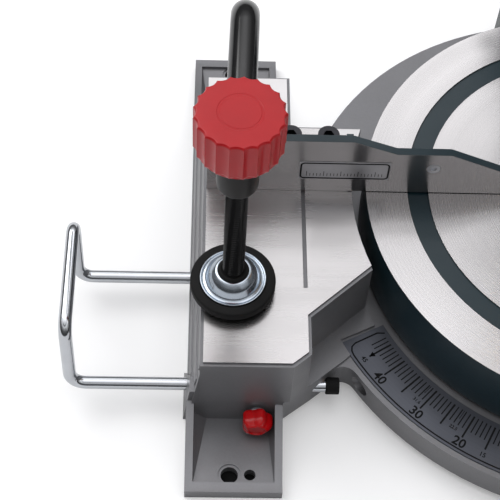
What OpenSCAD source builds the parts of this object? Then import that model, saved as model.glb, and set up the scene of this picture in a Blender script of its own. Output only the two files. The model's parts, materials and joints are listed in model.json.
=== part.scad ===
// Compound mitre saw on a cast base: round turntable, fence, hold-down clamp,
// wire table extensions and a hinged saw head. Millimetres, +Z up, origin on
// the bench under the turntable axis, fence face in the plane y = 0.

/* [Table] */
// Height of the table above the bench
table_h = 70; // [66:1:84]
// Half of the width over both tables
table_half_w = 237.5; // [232:0.5:250]
// Front edge of the tables, in front of the fence face
table_front = 116.5; // [114:0.5:122]
// Rear edge of the tables, behind the fence face
table_rear = 47; // [46:1:54]
// Width of the raised block at each end of the base
block_w = 49; // [47:0.5:51]
// Rear end of the raised end blocks
block_rear = 86; // [82:1:94]
// Thickness of the cast walls
cast_wall = 5; // [4:0.5:6]
// Thickness of the machined table plates
table_t = 8; // [6:0.5:10]
// Radius of the well round the turntable
well_r = 151.5; // [149:0.5:154]

/* [Base] */
// Height of the lower deck, under the mitre scale
deck_h = 25; // [23:1:28]
// Outer radius of the lower deck
deck_r = 178; // [176:0.5:182]
// Thickness of the lower deck plate
deck_t = 5; // [4:0.5:5.5]
// Room between the bench and the casting away from its feet
base_clear = 6; // [5:0.5:7]
// Thickness of the bolt-down feet
foot_t = 6; // [5:0.5:6.5]
// Front end of the front feet
foot_front = 165.5; // [163:0.5:175]
// Rear end of the rear feet
foot_rear = 155; // [152:0.5:165]
// Width of a foot
foot_w = 55.5; // [54:0.5:58]
// Radius of the bench bolt holes
bench_hole_r = 5; // [4:0.25:5.5]
// Radius of the small bench screw holes
bench_small_r = 3.3; // [2.5:0.1:3.5]
// Distance of the bench holes from the end of a foot
bench_hole_in = 11.4; // [10.5:0.1:14]

/* [Turntable] */
// Radius of the turntable
turn_r = 143; // [140:0.5:145]
// Thickness of the turntable plate
turn_t = 12; // [11:0.5:16]
// Outer radius of the painted ring groove
ring_out_r = 118.1; // [114:0.1:122]
// Inner radius of the painted ring groove
ring_in_r = 105.8; // [102:0.1:110]
// Depth of the painted ring groove
ring_depth = 1; // [0.6:0.1:1.5]
// Width of the turntable arm
arm_w = 70; // [66:1:72]
// Front end of the turntable arm
arm_front = 214; // [208:1:222]
// Greatest mitre angle to either side
mitre_max = 47; // [40:1:48]
// Width of the kerf plate
kerf_w = 44; // [40:1:50]
// Front end of the kerf plate
kerf_front = 178; // [172:1:184]
// Rear end of the kerf plate
kerf_rear = 62; // [56:1:70]
// Thickness of the kerf plate
kerf_t = 4; // [3:0.5:5]

/* [Mitre scale] */
// Inner radius of the scale plate
scale_in_r = 146.5; // [145:0.5:148]
// Outer radius of the scale plate
scale_out_r = 174.5; // [173:0.5:176]
// Thickness of the scale plate
scale_t = 0.8; // [0.6:0.1:1.2]
// Angle between the arm and its pointer
pointer_angle = 13.2; // [13:0.1:14]

/* [Fence] */
// Height of the fence above the table, at its ends
fence_h = 47; // [42:1:52]
// Height of the fence above the table, near the blade
fence_low_h = 36.4; // [32:0.2:38]
// Thickness of the fence
fence_t = 5; // [4.5:0.5:6]
// Where the fence starts to drop, from the turntable axis
fence_drop_x = 154; // [150:1:160]
// Where the fence stops dropping, from the turntable axis
fence_low_x = 128.4; // [122:1:134]
// Depth of the fence foot
fence_foot_d = 36; // [34:1:38]
// Thickness of the fence foot
fence_foot_t = 8; // [6:0.5:9]

/* [Clamp] */
// Distance of the clamp post from the turntable axis, across the saw
post_x = 217.5; // [216:0.5:220]
// Distance of the clamp post behind the fence face
post_y = 51; // [50:0.5:54]
// Radius of the clamp post and arm
post_r = 8; // [7:0.25:9]
// Height of the arm over the bench, on its centre line
clamp_arm_h = 178; // [172:1:190]
// Distance from the post to the spindle
clamp_reach = 119.5; // [112:0.5:122]
// Swing of the arm at rest
clamp_swing = -2; // [-3:0.5:0]
// Radius of the clamp spindle
spindle_r = 6; // [5:0.5:6.5]
// Radius of the clamp pad
pad_r = 24; // [21:0.5:26]
// Gap between the clamp pad and the table
pad_gap = 4; // [3:0.5:8]
// Thickness of the clamp pad
pad_t = 6; // [5:0.5:7]
// Radius of the clamp knob
knob_r = 22.6; // [20:0.2:25]
// Height of the clamp knob
knob_h = 25; // [22:1:28]
// Height of the top of the clamp knob
knob_top_h = 226; // [222:1:236]
// Number of flutes round the clamp knob
knob_flutes = 21; // [16:1:24]

/* [Extension] */
// Radius of the extension wire
wire_r = 3.75; // [3.5:0.05:4]
// Height of the wire rods above the bench
wire_h = 16; // [14.5:0.5:17]
// Distance of the outer bar from the turntable axis
wire_bar_x = 314.5; // [306:0.5:330]
// Front rod, in front of the fence face
wire_front_y = 101.6; // [100:0.2:103]
// Rear rod, in front of the fence face
wire_rear_y = 28.7; // [26:0.2:31]
// How far the outer bar leans back over the rods
wire_lean = 6.5; // [4:0.5:8]
// Bend radius of the wire on its centre line
wire_bend = 9; // [8:0.5:10]
// How far the extension slides in
wire_travel = 55; // [40:1:56]

/* [Saw head] */
// Radius of the blade over its teeth
blade_r = 108; // [104:1:110]
// Number of teeth
blade_teeth = 40; // [24:2:60]
// Thickness of the blade body
blade_t = 1.6; // [1.4:0.1:2]
// Width cut by the teeth
blade_kerf = 2.4; // [2.2:0.1:2.8]
// How far the blade dips under the table
blade_dip = 20; // [16:1:22]
// Blade axis in front of the fence face, with the head down
blade_y = -52; // [-54:1:-48]
// Distance of the chop pivot behind the fence face
pivot_y = 178; // [176:1:184]
// Height of the chop pivot over the table
pivot_h = 84; // [82:1:88]
// Chop angle from rest to the stop
chop_max = 38; // [30:1:40]
// Greatest bevel angle to the left
bevel_max = 47; // [40:1:47]
// Angle that the lower guard turns while the head goes down
guard_turn = 150; // [140:1:155]
// Radius of the upper guard
guard_r = 118; // [116:0.5:122]
// Radius of the motor housing
motor_r = 40; // [38:0.5:42]
// Length of the motor housing
motor_len = 112; // [100:1:125]

/* [Drive] */
// Gear module
gear_module = 1; // [1:0.05:1.1]
// Teeth of the driven gear
gear_teeth = 75; // [70:1:76]
// Teeth of the motor pinion
pinion_teeth = 15; // [15:1:17]
// Face width of the gears
gear_w = 12; // [10:0.5:13]

/* [Hidden] */
$fn = 48;
// Overrun of a cut past the face it leaves
over = 1;
// Radial clearance of a shaft that turns or slides in its bore
run = 0.05;
// Clearance of a screw or a set piece in its hole
fit = 0.06;
// Gap between pieces that pass each other
gap = 0.4;

// Side draft of the end blocks, at bench level
draft = 9.5;
front_draft = 2.5;
rear_draft = 6;
corner_cut = 9;
lip_w = 1.8;
lip_h = 1.4;
corner_x = table_half_w - block_w;
step_x = corner_x - corner_cut;
step_back = 31;
step_y = table_front - step_back;
nose_x = 142.5;
nose_y = 52.4;
inner_x = 100;
chamfer_back = 7.4;
chamfer_y = table_front - chamfer_back;
foot_out_x = table_half_w + draft;
foot_in_x = foot_out_x - foot_w;
strut_rise = 2;
strut_h = deck_h + strut_rise;
strut_in = [4.5, 10];
strut_corner = [step_x, table_front] - strut_in;
strut_end_share = [0.871, 0.506];
strut_end = deck_r * strut_end_share;
strut_fillet = 9;
hub_r = 30;
well_rim_t = 6;
bench_hole_side = 25.4;
bench_hole_x = foot_out_x - bench_hole_side;
bench_small_dx = 11.7;
spot_r = 6.6;
spot_depth = 0.8;
foot_rib_w = 4.5;
foot_rib_h = 18;
foot_lip = 2;
foot_lip_w = 6;
groove_x = 180.4;
groove_w = 2.4;
groove_end = 68;
groove_depth = 1.5;
pad_block = [6, 30, 34];

// Screws
m4_r = 2;
m6_r = 3;
m8_r = 4;
m12_r = 6;
m8_head_r = 6.5;
m8_head_h = 8;
m6_head_h = 3.5;
hex_h = 7;
nut_r = 10.5;

fence_screw_y = 30;
screw_boss_r = 9;
screw_boss_h = 22;
screw_depth = 20;
fence_foot_w = 45;
fence_foot_in = fence_drop_x;
fence_foot_out = fence_foot_in + fence_foot_w;
fence_screw_share = [0.25, 0.75];
fence_screw_x = [for (k = fence_screw_share) fence_foot_in + k * fence_foot_w];
fence_rib_t = 4;
fence_rib_in = 8.5;
fence_rib_x = table_half_w - fence_rib_in;

// Mitre lock
lock_h = 42;
lock_rod_r = 4;
lock_knob_r = 19;
lock_knob_front = 250;
lock_knob_len = 26;
shoe_t = 3.5;
shoe_w = 30;
arm_rise = 4;
arm_under = deck_h + arm_rise;
front_wall = 7;
lever_w = 22;
lever_t = 4;
lever_h = 16;
lever_back = 20;
lever_reach = 42;
lever_pivot_y = deck_r + lever_back;
lever_pivot_h = 21;
lever_front = lever_pivot_y + lever_reach;
cheek_t = 5;

// Bevel pivot
tilt_face_y = 168;
tilt_flange_t = 16;
tilt_plate_t = 17;
tilt_r = 42;
stud_reach = 28.3;
stud_angle = -45;
stud_r = 5;
tail_w = 84;
lever_end = 250;

blade_h = table_h - blade_dip + blade_r;
pivot_z = table_h + pivot_h;
gear_dist = gear_module * (gear_teeth + pinion_teeth) / 2;
motor_angle = 50;
motor_y = blade_y + gear_dist * cos(motor_angle);
motor_h = blade_h + gear_dist * sin(motor_angle);

function unit(v) = v / norm(v);

// A straight round bar between two points
module bar(a, b, r) {
    d = b - a;
    translate(a)
        rotate([0, acos(d[2] / norm(d)), atan2(d[1], d[0])])
            cylinder(h = norm(d), r = r);
}

// A round bar through points, bent at each inner one, a hair thicker in the bends
bend_swell = 0.05;
bend_lap = 0.4;
module bent_bar(p, r, bend) {
    last = len(p) - 1;
    turn = [for (i = [1 : 1 : last - 1])
        acos(unit(p[i] - p[i - 1]) * unit(p[i + 1] - p[i]))];
    trim = concat([0], [for (a = turn) bend * tan(a / 2)], [0]);
    for (i = [0 : last - 1]) {
        along = unit(p[i + 1] - p[i]);
        bar(p[i] + (trim[i] - (i > 0 ? bend_lap : 0)) * along,
            p[i + 1] - (trim[i + 1] - (i < last - 1 ? bend_lap : 0)) * along, r);
    }
    for (i = [1 : 1 : last - 1]) {
        from = unit(p[i] - p[i - 1]);
        to = unit(p[i + 1] - p[i]);
        start = p[i] - trim[i] * from;
        side = unit(to - (to * from) * from);
        centre = start + bend * side;
        axis = cross(-side, from);
        multmatrix([[-side[0], from[0], axis[0], centre[0]],
                [-side[1], from[1], axis[1], centre[1]],
                [-side[2], from[2], axis[2], centre[2]]])
            rotate_extrude(angle = turn[i - 1]) translate([bend, 0]) circle(r + bend_swell);
    }
}

// Children drawn in the y-z plane, extruded along +X from x
module along_x(x, h) translate([x, 0, 0]) rotate([90, 0, 90]) linear_extrude(h) children();

// Children drawn in the x-z plane, extruded towards +Y from y
module along_y(y, h) translate([0, y + h, 0]) rotate([90, 0, 0]) linear_extrude(h) children();

// A round bar along X or along Y, from its low end
module bar_x(x, y, z, r, h) translate([x, y, z]) rotate([0, 90, 0]) cylinder(h = h, r = r);
module bar_y(x, y, z, r, h) translate([x, y, z]) rotate([-90, 0, 0]) cylinder(h = h, r = r);
module hex_x(x, y, z, r, h) translate([x, y, z]) rotate([0, 90, 0]) cylinder(h = h, r = r, $fn = 6);
module hex_y(x, y, z, r, h) translate([x, y, z]) rotate([-90, 0, 0]) cylinder(h = h, r = r, $fn = 6);

// A box between two corners
module block(a, b) translate(a) cube(b - a);

// Children once on the left and once on the right
module both() {
    children();
    mirror([1, 0, 0]) children();
}

// Outline of the left table, up to the turntable well
module table_plan(grow) {
    polygon([[-table_half_w - grow, -table_front - grow],
        [-corner_x + grow / 2, -table_front - grow],
        [-step_x + grow, -chamfer_y - grow / 2],
        [-step_x + grow, -step_y - grow / 2],
        [-nose_x + grow / 2, -nose_y - grow],
        [-inner_x, -nose_y / 2],
        [-inner_x, table_rear + grow],
        [-corner_x + grow, table_rear + grow],
        [-corner_x + grow, block_rear + grow],
        [-table_half_w - grow, block_rear + grow]]);
}

module foot(end, wall) {
    block([-foot_out_x, 0, 0], [-foot_in_x, end, foot_t]);
    for (x = [-foot_out_x, -foot_in_x - foot_rib_w])
        along_x(x, foot_rib_w)
            polygon([[wall, foot_t], [wall, foot_t + foot_rib_h],
                [end - foot_lip_w, foot_t + foot_lip], [end, foot_t + foot_lip], [end, 0], [wall, 0]]);
    block([-foot_out_x, end - foot_lip_w, 0], [-foot_in_x, end, foot_t + foot_lip]);
}

module strut() {
    polygon([[-foot_in_x, -table_front - front_draft], -strut_corner, -strut_end,
        [-strut_end[0] + strut_fillet, -strut_end[1] + strut_fillet],
        [-inner_x, -nose_y], [-foot_in_x, -nose_y / 2]]);
}

// Concave blend between the strut and the round deck
strut_run = unit(strut_corner - strut_end);
strut_side = strut_fillet * [-strut_run[1], strut_run[0]];
blend_from = strut_end + strut_side;
blend_along = blend_from * strut_run;
blend_reach = sqrt(pow(blend_along, 2) - blend_from * blend_from + pow(deck_r + strut_fillet, 2)) - blend_along;
blend_at = blend_from + blend_reach * strut_run;
module strut_blend() {
    difference() {
        polygon([-(blend_at - strut_side), -blend_at, -unit(blend_at) * deck_r,
            -unit(blend_at) * (deck_r - strut_fillet), -(strut_end - strut_side)]);
        translate(-blend_at) circle(strut_fillet);
    }
}

module base_half() {
    // Raised end block with drafted sides
    hull() {
        translate([-table_half_w, -table_front, table_h - lip_h - over])
            cube([block_w, table_front + block_rear, over]);
        translate([-foot_out_x, -table_front - front_draft, 0])
            cube([foot_w, table_front + front_draft + block_rear + rear_draft, over]);
    }
    translate([0, 0, strut_h]) linear_extrude(table_h - lip_h - strut_h) table_plan(lip_w);
    translate([0, 0, strut_h]) linear_extrude(table_h - strut_h) table_plan(0);
    translate([0, 0, base_clear]) linear_extrude(strut_h - base_clear) strut();
    translate([0, 0, base_clear]) linear_extrude(deck_h - base_clear) strut_blend();
    mirror([0, 1, 0]) foot(foot_front, table_front);
    foot(foot_rear, block_rear);
    // Seat of the front rod, standing proud of the side wall
    hull() {
        translate([-foot_out_x - pad_block[0] / 3, -table_front, 0]) cube([pad_block[0], pad_block[1], over]);
        translate([-foot_out_x + pad_block[0] / 3, -table_front, pad_block[2]])
            cube([pad_block[0], pad_block[1] / 3, over]);
    }
}

module base_hollow() {
    top = table_h - table_t;
    // Under the end block
    block([-table_half_w - cast_wall / 2 + cast_wall, -table_front + cast_wall, -over],
        [-corner_x - cast_wall, block_rear - cast_wall, top]);
    // Under the inner table
    block([-corner_x + cast_wall / 2, -nose_y + cast_wall, -over],
        [-well_r - well_rim_t, table_rear - cast_wall, top]);
}

module base_bosses() {
    for (p = foot_pad_at) translate([-p[0], p[1], base_clear])
        cylinder(h = deck_h - base_clear - over, r = foot_pad_r + 2 * over);
    translate([-post_x, post_y, 0]) cylinder(h = table_h - lip_h, r = post_r + cast_wall);
    for (x = fence_screw_x)
        translate([-x, fence_screw_y, table_h - table_t - screw_boss_h])
            cylinder(h = screw_boss_h + over, r = screw_boss_r);
    bar_y(-thumb_x, -table_front, wire_h, m8_r * 2, cast_wall * 2);
    bar_y(-post_x, post_y + post_r, post_screw_h, m8_r * 2, block_rear - post_y - post_r);
}

post_screw_h = 40;
thumb_r = wire_h - foot_t - gap;
thumb_x = foot_in_x + foot_rib_w + thumb_r + gap;

module base_holes() {
    translate([-post_x, post_y, -over]) cylinder(h = table_h + 2 * over, r = post_r + run);
    for (x = fence_screw_x)
        translate([-x, fence_screw_y, table_h - screw_depth - fit]) cylinder(h = screw_depth + over, r = m8_r + fit);
    for (y = [-wire_front_y, -wire_rear_y])
        bar_x(-foot_out_x - pad_block[0], y, wire_h, wire_r + run, foot_out_x - inner_x / 2);
    // Room for the rod caps past the stop
    for (y = [-wire_front_y, -wire_rear_y])
        bar_x(-cap_x, y, wire_h, cap_r + gap, wire_travel + cap_len + over);
    bar_y(-thumb_x, -table_front - front_draft - over, wire_h, m6_r + run, table_front + over - wire_front_y);
    bar_y(-post_x, post_y + post_r, post_screw_h, m6_r + run, block_rear + rear_draft);
    for (y = [-foot_front + bench_hole_in, foot_rear - bench_hole_in]) {
        translate([-bench_hole_x, y, -over]) cylinder(h = foot_t + 2 * over, r = bench_hole_r);
        translate([-bench_hole_x, y, foot_t - spot_depth]) cylinder(h = spot_depth + over, r = spot_r);
        translate([-bench_hole_x + bench_small_dx, y, -over]) cylinder(h = foot_t + 2 * over, r = bench_small_r);
    }
    // Measuring groove in the table top
    block([-groove_x - groove_w / 2, -groove_end, table_h - groove_depth],
        [-groove_x + groove_w / 2, table_rear / 8, table_h + over]);
}

cap_x = 166;
cap_r = 5;
cap_len = 8;

module base_casting() {
    color([0.42, 0.43, 0.45]) difference() {
        union() {
            difference() {
                union() {
                    both() base_half();
                    translate([0, 0, base_clear]) cylinder(h = deck_h - base_clear, r = deck_r);
                }
                both() base_hollow();
                translate([0, 0, deck_h]) cylinder(h = table_h, r = well_r);
                translate([0, 0, deck_h]) rotate([0, 0, -90 - scale_left - 1 / 2])
                    rotate_extrude(angle = scale_left + scale_right + 1)
                        translate([scale_in_r, 0]) square([scale_out_r - scale_in_r + gap / 2, strut_h - deck_h]);
                translate([0, 0, -over]) difference() {
                    cylinder(h = deck_h - deck_t + over, r = deck_r - cast_wall);
                    cylinder(h = deck_h, r = hub_r);
                }
            }
            both() base_bosses();
        }
        both() base_holes();
        translate([0, 0, -over]) cylinder(h = deck_h + 2 * over, r = m12_r + fit);
        translate([0, 0, -over]) cylinder(h = base_clear + hex_h + over, r = nut_r + over);
    }
}

// Soft feet under the struts and the rear of the deck
foot_pad_r = 6;
foot_pad_share = [[0.921, -0.472], [0.674, 0.663]];
foot_pad_at = deck_r * foot_pad_share;
module rubber_feet() {
    color([0.08, 0.08, 0.08]) both() for (p = foot_pad_at)
        translate([-p[0], p[1], 0]) cylinder(h = base_clear, r = foot_pad_r);
}

scale_left = mitre_max + pointer_angle + 3.3;
scale_right = mitre_max - pointer_angle + 3.3;
module mitre_scale() {
    color([0.62, 0.64, 0.68]) translate([0, 0, deck_h]) rotate([0, 0, -90 - scale_left])
        rotate_extrude(angle = scale_left + scale_right)
            translate([scale_in_r, 0]) square([scale_out_r - scale_in_r, scale_t]);
}

hub_rise = 20;
hub_top = deck_h + hub_rise;
pivot_washer_t = 2;
module pivot_bolt() {
    color("silver") {
        translate([0, 0, base_clear]) cylinder(h = hex_h, r = nut_r, $fn = 6);
        translate([0, 0, base_clear + hex_h]) cylinder(h = hub_top - base_clear, r = m12_r);
    }
}
module pivot_nut() {
    color("silver") difference() {
        union() {
            translate([0, 0, hub_top + gap]) cylinder(h = pivot_washer_t, r = nut_r + over);
            translate([0, 0, hub_top + pivot_washer_t]) cylinder(h = hex_h - pivot_washer_t, r = nut_r, $fn = 6);
        }
        translate([0, 0, hub_top - over]) cylinder(h = hex_h + 2 * over, r = m12_r + run);
    }
}

// Face outline of a fence, with its inner end cut low for the blade
module fence_face(inner) {
    low = table_h + fence_low_h;
    polygon([[-table_half_w, table_h], [-table_half_w, table_h + fence_h - lip_w],
        [-table_half_w + lip_w, table_h + fence_h], [-fence_drop_x, table_h + fence_h],
        [-fence_low_x, low], [-inner[0], low], [-inner[1], table_h + (low - table_h) * inner[3]],
        [-inner[2], table_h + (low - table_h) * inner[4]], [-inner[2], table_h + gap],
        [-fence_foot_in, table_h + gap], [-fence_foot_in, table_h]]);
}

module fence(inner) {
    difference() {
        union() {
            along_y(0, fence_t) fence_face(inner);
            block([-fence_foot_out, 0, table_h], [-fence_foot_in, fence_foot_d, table_h + fence_foot_t]);
            for (x = [fence_rib_x, fence_foot_in + fence_rib_t, fence_foot_out])
                along_x(-x, fence_rib_t)
                    polygon([[fence_t / 2, table_h + fence_h / 4], [fence_t / 2, table_h + fence_h - 2 * lip_w],
                        [fence_t + fence_rib_t, table_h + fence_h - 2 * lip_w],
                        [fence_foot_d - 2 * fence_t, table_h], [fence_t / 2, table_h]]);
        }
        for (x = fence_screw_x)
            translate([-x, fence_screw_y, table_h - over]) cylinder(h = fence_foot_t + 2 * over, r = m8_r + fit);
        translate([-fence_mark_x, -over, fence_mark_h]) rotate([-90, 0, 0]) cylinder(h = fence_t + 2 * over, r = m4_r + fit);
        bar_y(-fence_mark_x, -over, fence_mark_h, mark_head_r + fit, over + mark_head_t);
    }
}
fence_mark_x = 106;
fence_mark_h = table_h + fence_h / 2;
mark_head_r = 4;
mark_head_t = 2;
fence_green = [0.07, 0.17, 0.19];
fence_end = [97, 66, 34];
fence_end_right = [97, 48, 30];
fence_step_share = [0.6, 0.2];
fence_step_right_share = [1, 0.6];
module fence_left() color(fence_green) fence(concat(fence_end, fence_step_share));
module fence_right() color(fence_green) mirror([1, 0, 0]) fence(concat(fence_end_right, fence_step_right_share));

module socket_screw(r, head_r, head_h, length) {
    translate([0, 0, -length]) cylinder(h = length, r = r);
    difference() {
        cylinder(h = head_h, r = head_r);
        translate([0, 0, head_h / 2]) cylinder(h = head_h, r = head_r / 2, $fn = 6);
    }
}

module fence_screws() {
    color([0.15, 0.15, 0.15]) both() {
        for (x = fence_screw_x)
            translate([-x, fence_screw_y, table_h + fence_foot_t])
                socket_screw(m8_r, m8_head_r, m8_head_h, screw_depth + fence_foot_t - over);
        translate([-fence_mark_x, mark_head_t, fence_mark_h]) rotate([90, 0, 0])
            socket_screw(m4_r, mark_head_r, mark_head_t, fence_t - mark_head_t);
    }
}

plate_w = 53;
plate_high = 16;
plate_t = 0.5;
plate_up = 12.5;
plate_side = 30;
module fence_plate() {
    color([0.55, 0.55, 0.56]) translate([-fence_drop_x - plate_side, -plate_t, table_h + plate_up])
        cube([plate_w, plate_t, plate_high]);
}

// Turntable
kerf_left = -4;
kerf_right = 9;
blade_room = [-8, 24];
turn_rise = 3;
turn_under = deck_h + turn_rise;
turn_skirt = 5;
kerf_screw_in = [5, 8, 47];
kerf_screw_y = [kerf_screw_in[1] - kerf_front, kerf_screw_in[2] - kerf_front, kerf_rear - kerf_screw_in[1]];
kerf_screw_x = kerf_w / 2 - kerf_screw_in[0];
module kerf_plan(grow) {
    translate([-kerf_w / 2 - grow, -kerf_front - grow]) square([kerf_w + 2 * grow, kerf_front + kerf_rear + 2 * grow]);
}
module turntable() {
    color(fence_green) difference() {
        union() {
            // Plate, skirt and hub
            difference() {
                translate([0, 0, turn_under]) cylinder(h = table_h - turn_under, r = turn_r);
                translate([0, 0, turn_under - over])
                    cylinder(h = table_h - turn_t - turn_under + over, r = turn_r - turn_skirt);
            }
            translate([0, 0, deck_h + gap]) cylinder(h = table_h - deck_h - turn_t / 2, r = hub_r);
            // Arm to the front
            block([-arm_w / 2, -arm_front, arm_under], [arm_w / 2, -turn_r + cast_wall * 3, table_h]);
            for (s = [-1, 1])
                block([s * (lever_w / 2 + gap + cheek_t / 2) - cheek_t / 2, -arm_front, lever_h - lever_t],
                    [s * (lever_w / 2 + gap + cheek_t / 2) + cheek_t / 2, -arm_front + lever_cheek_d, arm_under + over]);
            // Tail to the rear, with the bevel flange
            block([-tail_w / 2, turn_r - cast_wall * 3, turn_under],
                [tail_w / 2, tilt_face_y, table_h]);
            bar_y(0, tilt_face_y - tilt_flange_t, table_h, tilt_r, tilt_flange_t);
        }
        // Hollow of the arm, and of the tail
        block([-arm_w / 2 + cast_wall, -arm_front + front_wall, arm_under - over],
            [arm_w / 2 - cast_wall, -turn_r + cast_wall / 2, table_h - turn_t]);
        block([-tail_w / 2 + cast_wall, turn_r - cast_wall / 2, turn_under - over],
            [tail_w / 2 - cast_wall, tilt_face_y - tilt_flange_t, table_h - turn_t]);
        // Painted ring groove
        translate([0, 0, table_h - ring_depth]) difference() {
            cylinder(h = ring_depth + over, r = ring_out_r);
            translate([0, 0, -over]) cylinder(h = ring_depth + 3 * over, r = ring_in_r);
        }
        // Seat of the kerf plate and room for the tilted blade
        translate([0, 0, table_h - kerf_t]) linear_extrude(kerf_t + over) kerf_plan(fit);
        block([blade_room[0], -blade_room_front, table_h - turn_t - over],
            [blade_room[1], blade_room_rear, table_h]);
        block([blade_room[0], -blade_room_front, table_h - blade_dip - over],
            [blade_room[1], blade_room_rear, table_h]);
        for (y = kerf_screw_y) for (s = [-1, 1])
            translate([s * kerf_screw_x, y, table_h - turn_t + over]) cylinder(h = turn_t, r = m4_r + fit);
        // Hub bore and room for the nut
        translate([0, 0, deck_h]) cylinder(h = hub_top - deck_h, r = m12_r + run);
        translate([0, 0, hub_top]) cylinder(h = table_h - hub_top, r = nut_r + 2 * over);
        // Bevel bolt, stud and lock rod
        bar_y(0, tilt_face_y - tilt_flange_t - over, table_h, m12_r + run, tilt_flange_t + 2 * over);
        bar_y(0, tilt_face_y - tilt_flange_t - hex_h - gap, table_h, nut_r + gap, hex_h + gap);
        bar_y(stud_x, tilt_face_y - stud_in, stud_z, stud_r + fit, stud_in + over);
        bar_y(0, -arm_front - over, lock_h, lock_rod_r + run, front_wall + 2 * over);
        bar_x(-arm_w / 2, -lever_pivot_y, lever_pivot_h, m4_r + run, arm_w);
        bar_x(-arm_w / 2 - over, -pointer_y, pointer_h, m4_r + fit, cast_wall + 2 * over);
    }
}
stud_in = 14;
lever_cheek_d = 26;
blade_room_front = 122;
blade_room_rear = 24;
stud_x = stud_reach * cos(stud_angle);
stud_z = table_h + stud_reach * sin(stud_angle);

module kerf_plate() {
    color([0.75, 0.08, 0.1]) difference() {
        translate([0, 0, table_h - kerf_t]) linear_extrude(kerf_t) kerf_plan(0);
        block([kerf_left, -kerf_slot_front, table_h - kerf_t - over], [kerf_right, kerf_slot_rear, table_h + over]);
        for (y = kerf_screw_y) for (s = [-1, 1]) translate([s * kerf_screw_x, y, table_h - kerf_t - over]) {
            cylinder(h = kerf_t + 2 * over, r = m4_r + fit);
            translate([0, 0, over + kerf_t - mark_head_t]) cylinder(h = mark_head_t + over, r = mark_head_r + fit);
        }
    }
}
kerf_slot_in = 14;
kerf_slot_front = kerf_front - kerf_slot_in;
kerf_slot_rear = kerf_rear - kerf_slot_in;

module kerf_screws() {
    color("silver") for (y = kerf_screw_y) for (s = [-1, 1])
        translate([s * kerf_screw_x, y, table_h - mark_head_t])
            socket_screw(m4_r, mark_head_r, mark_head_t, turn_t - mark_head_t - 2 * over);
}

// Red pointer on the side of the arm, over the scale
pointer_y = 160;
pointer_rise = 11;
pointer_h = deck_h + pointer_rise;
pointer_t = 1.6;
pointer_reach = 156;
module mitre_pointer() {
    tip = pointer_reach * [-sin(pointer_angle), -cos(pointer_angle)];
    half = mark_head_r * 1.5;
    low = deck_h + scale_t + gap;
    color([0.75, 0.08, 0.1]) {
        difference() {
            union() {
                block([-arm_w / 2 - pointer_t, -pointer_y - half, low], [-arm_w / 2, -pointer_y + half, pointer_h + half]);
                translate([0, 0, low]) linear_extrude(pointer_t)
                    polygon([[-arm_w / 2 - pointer_t / 2, -pointer_y - half], tip, [-arm_w / 2 - pointer_t / 2, -pointer_y + half]]);
            }
            bar_x(-arm_w / 2 - pointer_t - over, -pointer_y, pointer_h, m4_r + fit, pointer_t + 2 * over);
        }
        translate([-arm_w / 2 - pointer_t, -pointer_y, pointer_h]) rotate([0, -90, 0])
            socket_screw(m4_r, mark_head_r, mark_head_t, pointer_t + cast_wall);
    }
}

// Bevel scale on the front of the flange, over the top and the left
bevel_scale_r = [31, 40.5];
module bevel_scale() {
    color([0.62, 0.64, 0.68]) translate([0, tilt_face_y - tilt_flange_t, table_h]) rotate([90, 0, 0])
        rotate([0, 0, 80]) rotate_extrude(angle = 70)
            translate([bevel_scale_r[0], 0]) square([bevel_scale_r[1] - bevel_scale_r[0], scale_t]);
}

module bevel_pivot_bolt() {
    front = tilt_face_y - tilt_flange_t;
    rear = tilt_face_y + gap + tilt_plate_t;
    color("silver") {
        hex_y(0, front - hex_h, table_h, nut_r, hex_h);
        bar_y(0, front, table_h, m12_r, rear - front + hex_h + over);
        difference() {
            hex_y(0, rear + gap / 2, table_h, nut_r, hex_h);
            bar_y(0, rear, table_h, m12_r, hex_h + over);
        }
    }
}

module bevel_lock_stud() {
    color("silver") bar_y(stud_x, tilt_face_y - stud_in + over, stud_z, stud_r, stud_in + tilt_plate_t + 3 * stud_r);
}

shoe_face = deck_r + gap + shoe_t;
module lock_shoe() {
    color([0.3, 0.3, 0.32]) difference() {
        block([-shoe_w / 2, -shoe_face, lever_h - lever_t], [shoe_w / 2, -deck_r - gap, table_h - turn_t]);
        block([-shoe_w, -shoe_face - over, deck_h], [-lock_rod_r * 2, -deck_r, table_h - turn_t - cast_wall]);
        block([lock_rod_r * 2, -shoe_face - over, deck_h], [shoe_w, -deck_r, table_h - turn_t - cast_wall]);
    }
}

// Mitre lock: fluted knob on a rod that presses the shoe
module fluted(r, h, n, depth) {
    linear_extrude(h) difference() {
        circle(r);
        for (i = [0 : n - 1])
            rotate(i * 360 / n) translate([r + depth * 0.9, 0]) circle(depth * 1.6);
    }
}
lock_knob_flutes = 8;
lock_knob_groove = 3.2;
module mitre_lock_rod() {
    color("silver") bar_y(0, -lock_knob_front + lock_knob_len / 2, lock_h, lock_rod_r,
        lock_knob_front - lock_knob_len / 2 - shoe_face - gap);
}
module mitre_lock_knob() {
    color([0.75, 0.08, 0.1]) difference() {
        union() {
            translate([0, -lock_knob_front + lock_knob_len, lock_h]) rotate([90, 0, 0])
                fluted(lock_knob_r, lock_knob_len * 0.75, lock_knob_flutes, lock_knob_groove);
            translate([0, -lock_knob_front + lock_knob_len * 0.25, lock_h]) rotate([90, 0, 0])
                cylinder(h = lock_knob_len * 0.25, r1 = lock_knob_r - lock_knob_groove, r2 = lock_knob_r / 2);
            bar_y(0, -lock_knob_front + lock_knob_len, lock_h, lock_rod_r * 2, lock_boss);
        }
        bar_y(0, -lock_knob_front + lock_knob_len / 2, lock_h, lock_rod_r, lock_knob_len);
    }
}
lock_boss = lock_knob_front - lock_knob_len - arm_front - gap;

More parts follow.
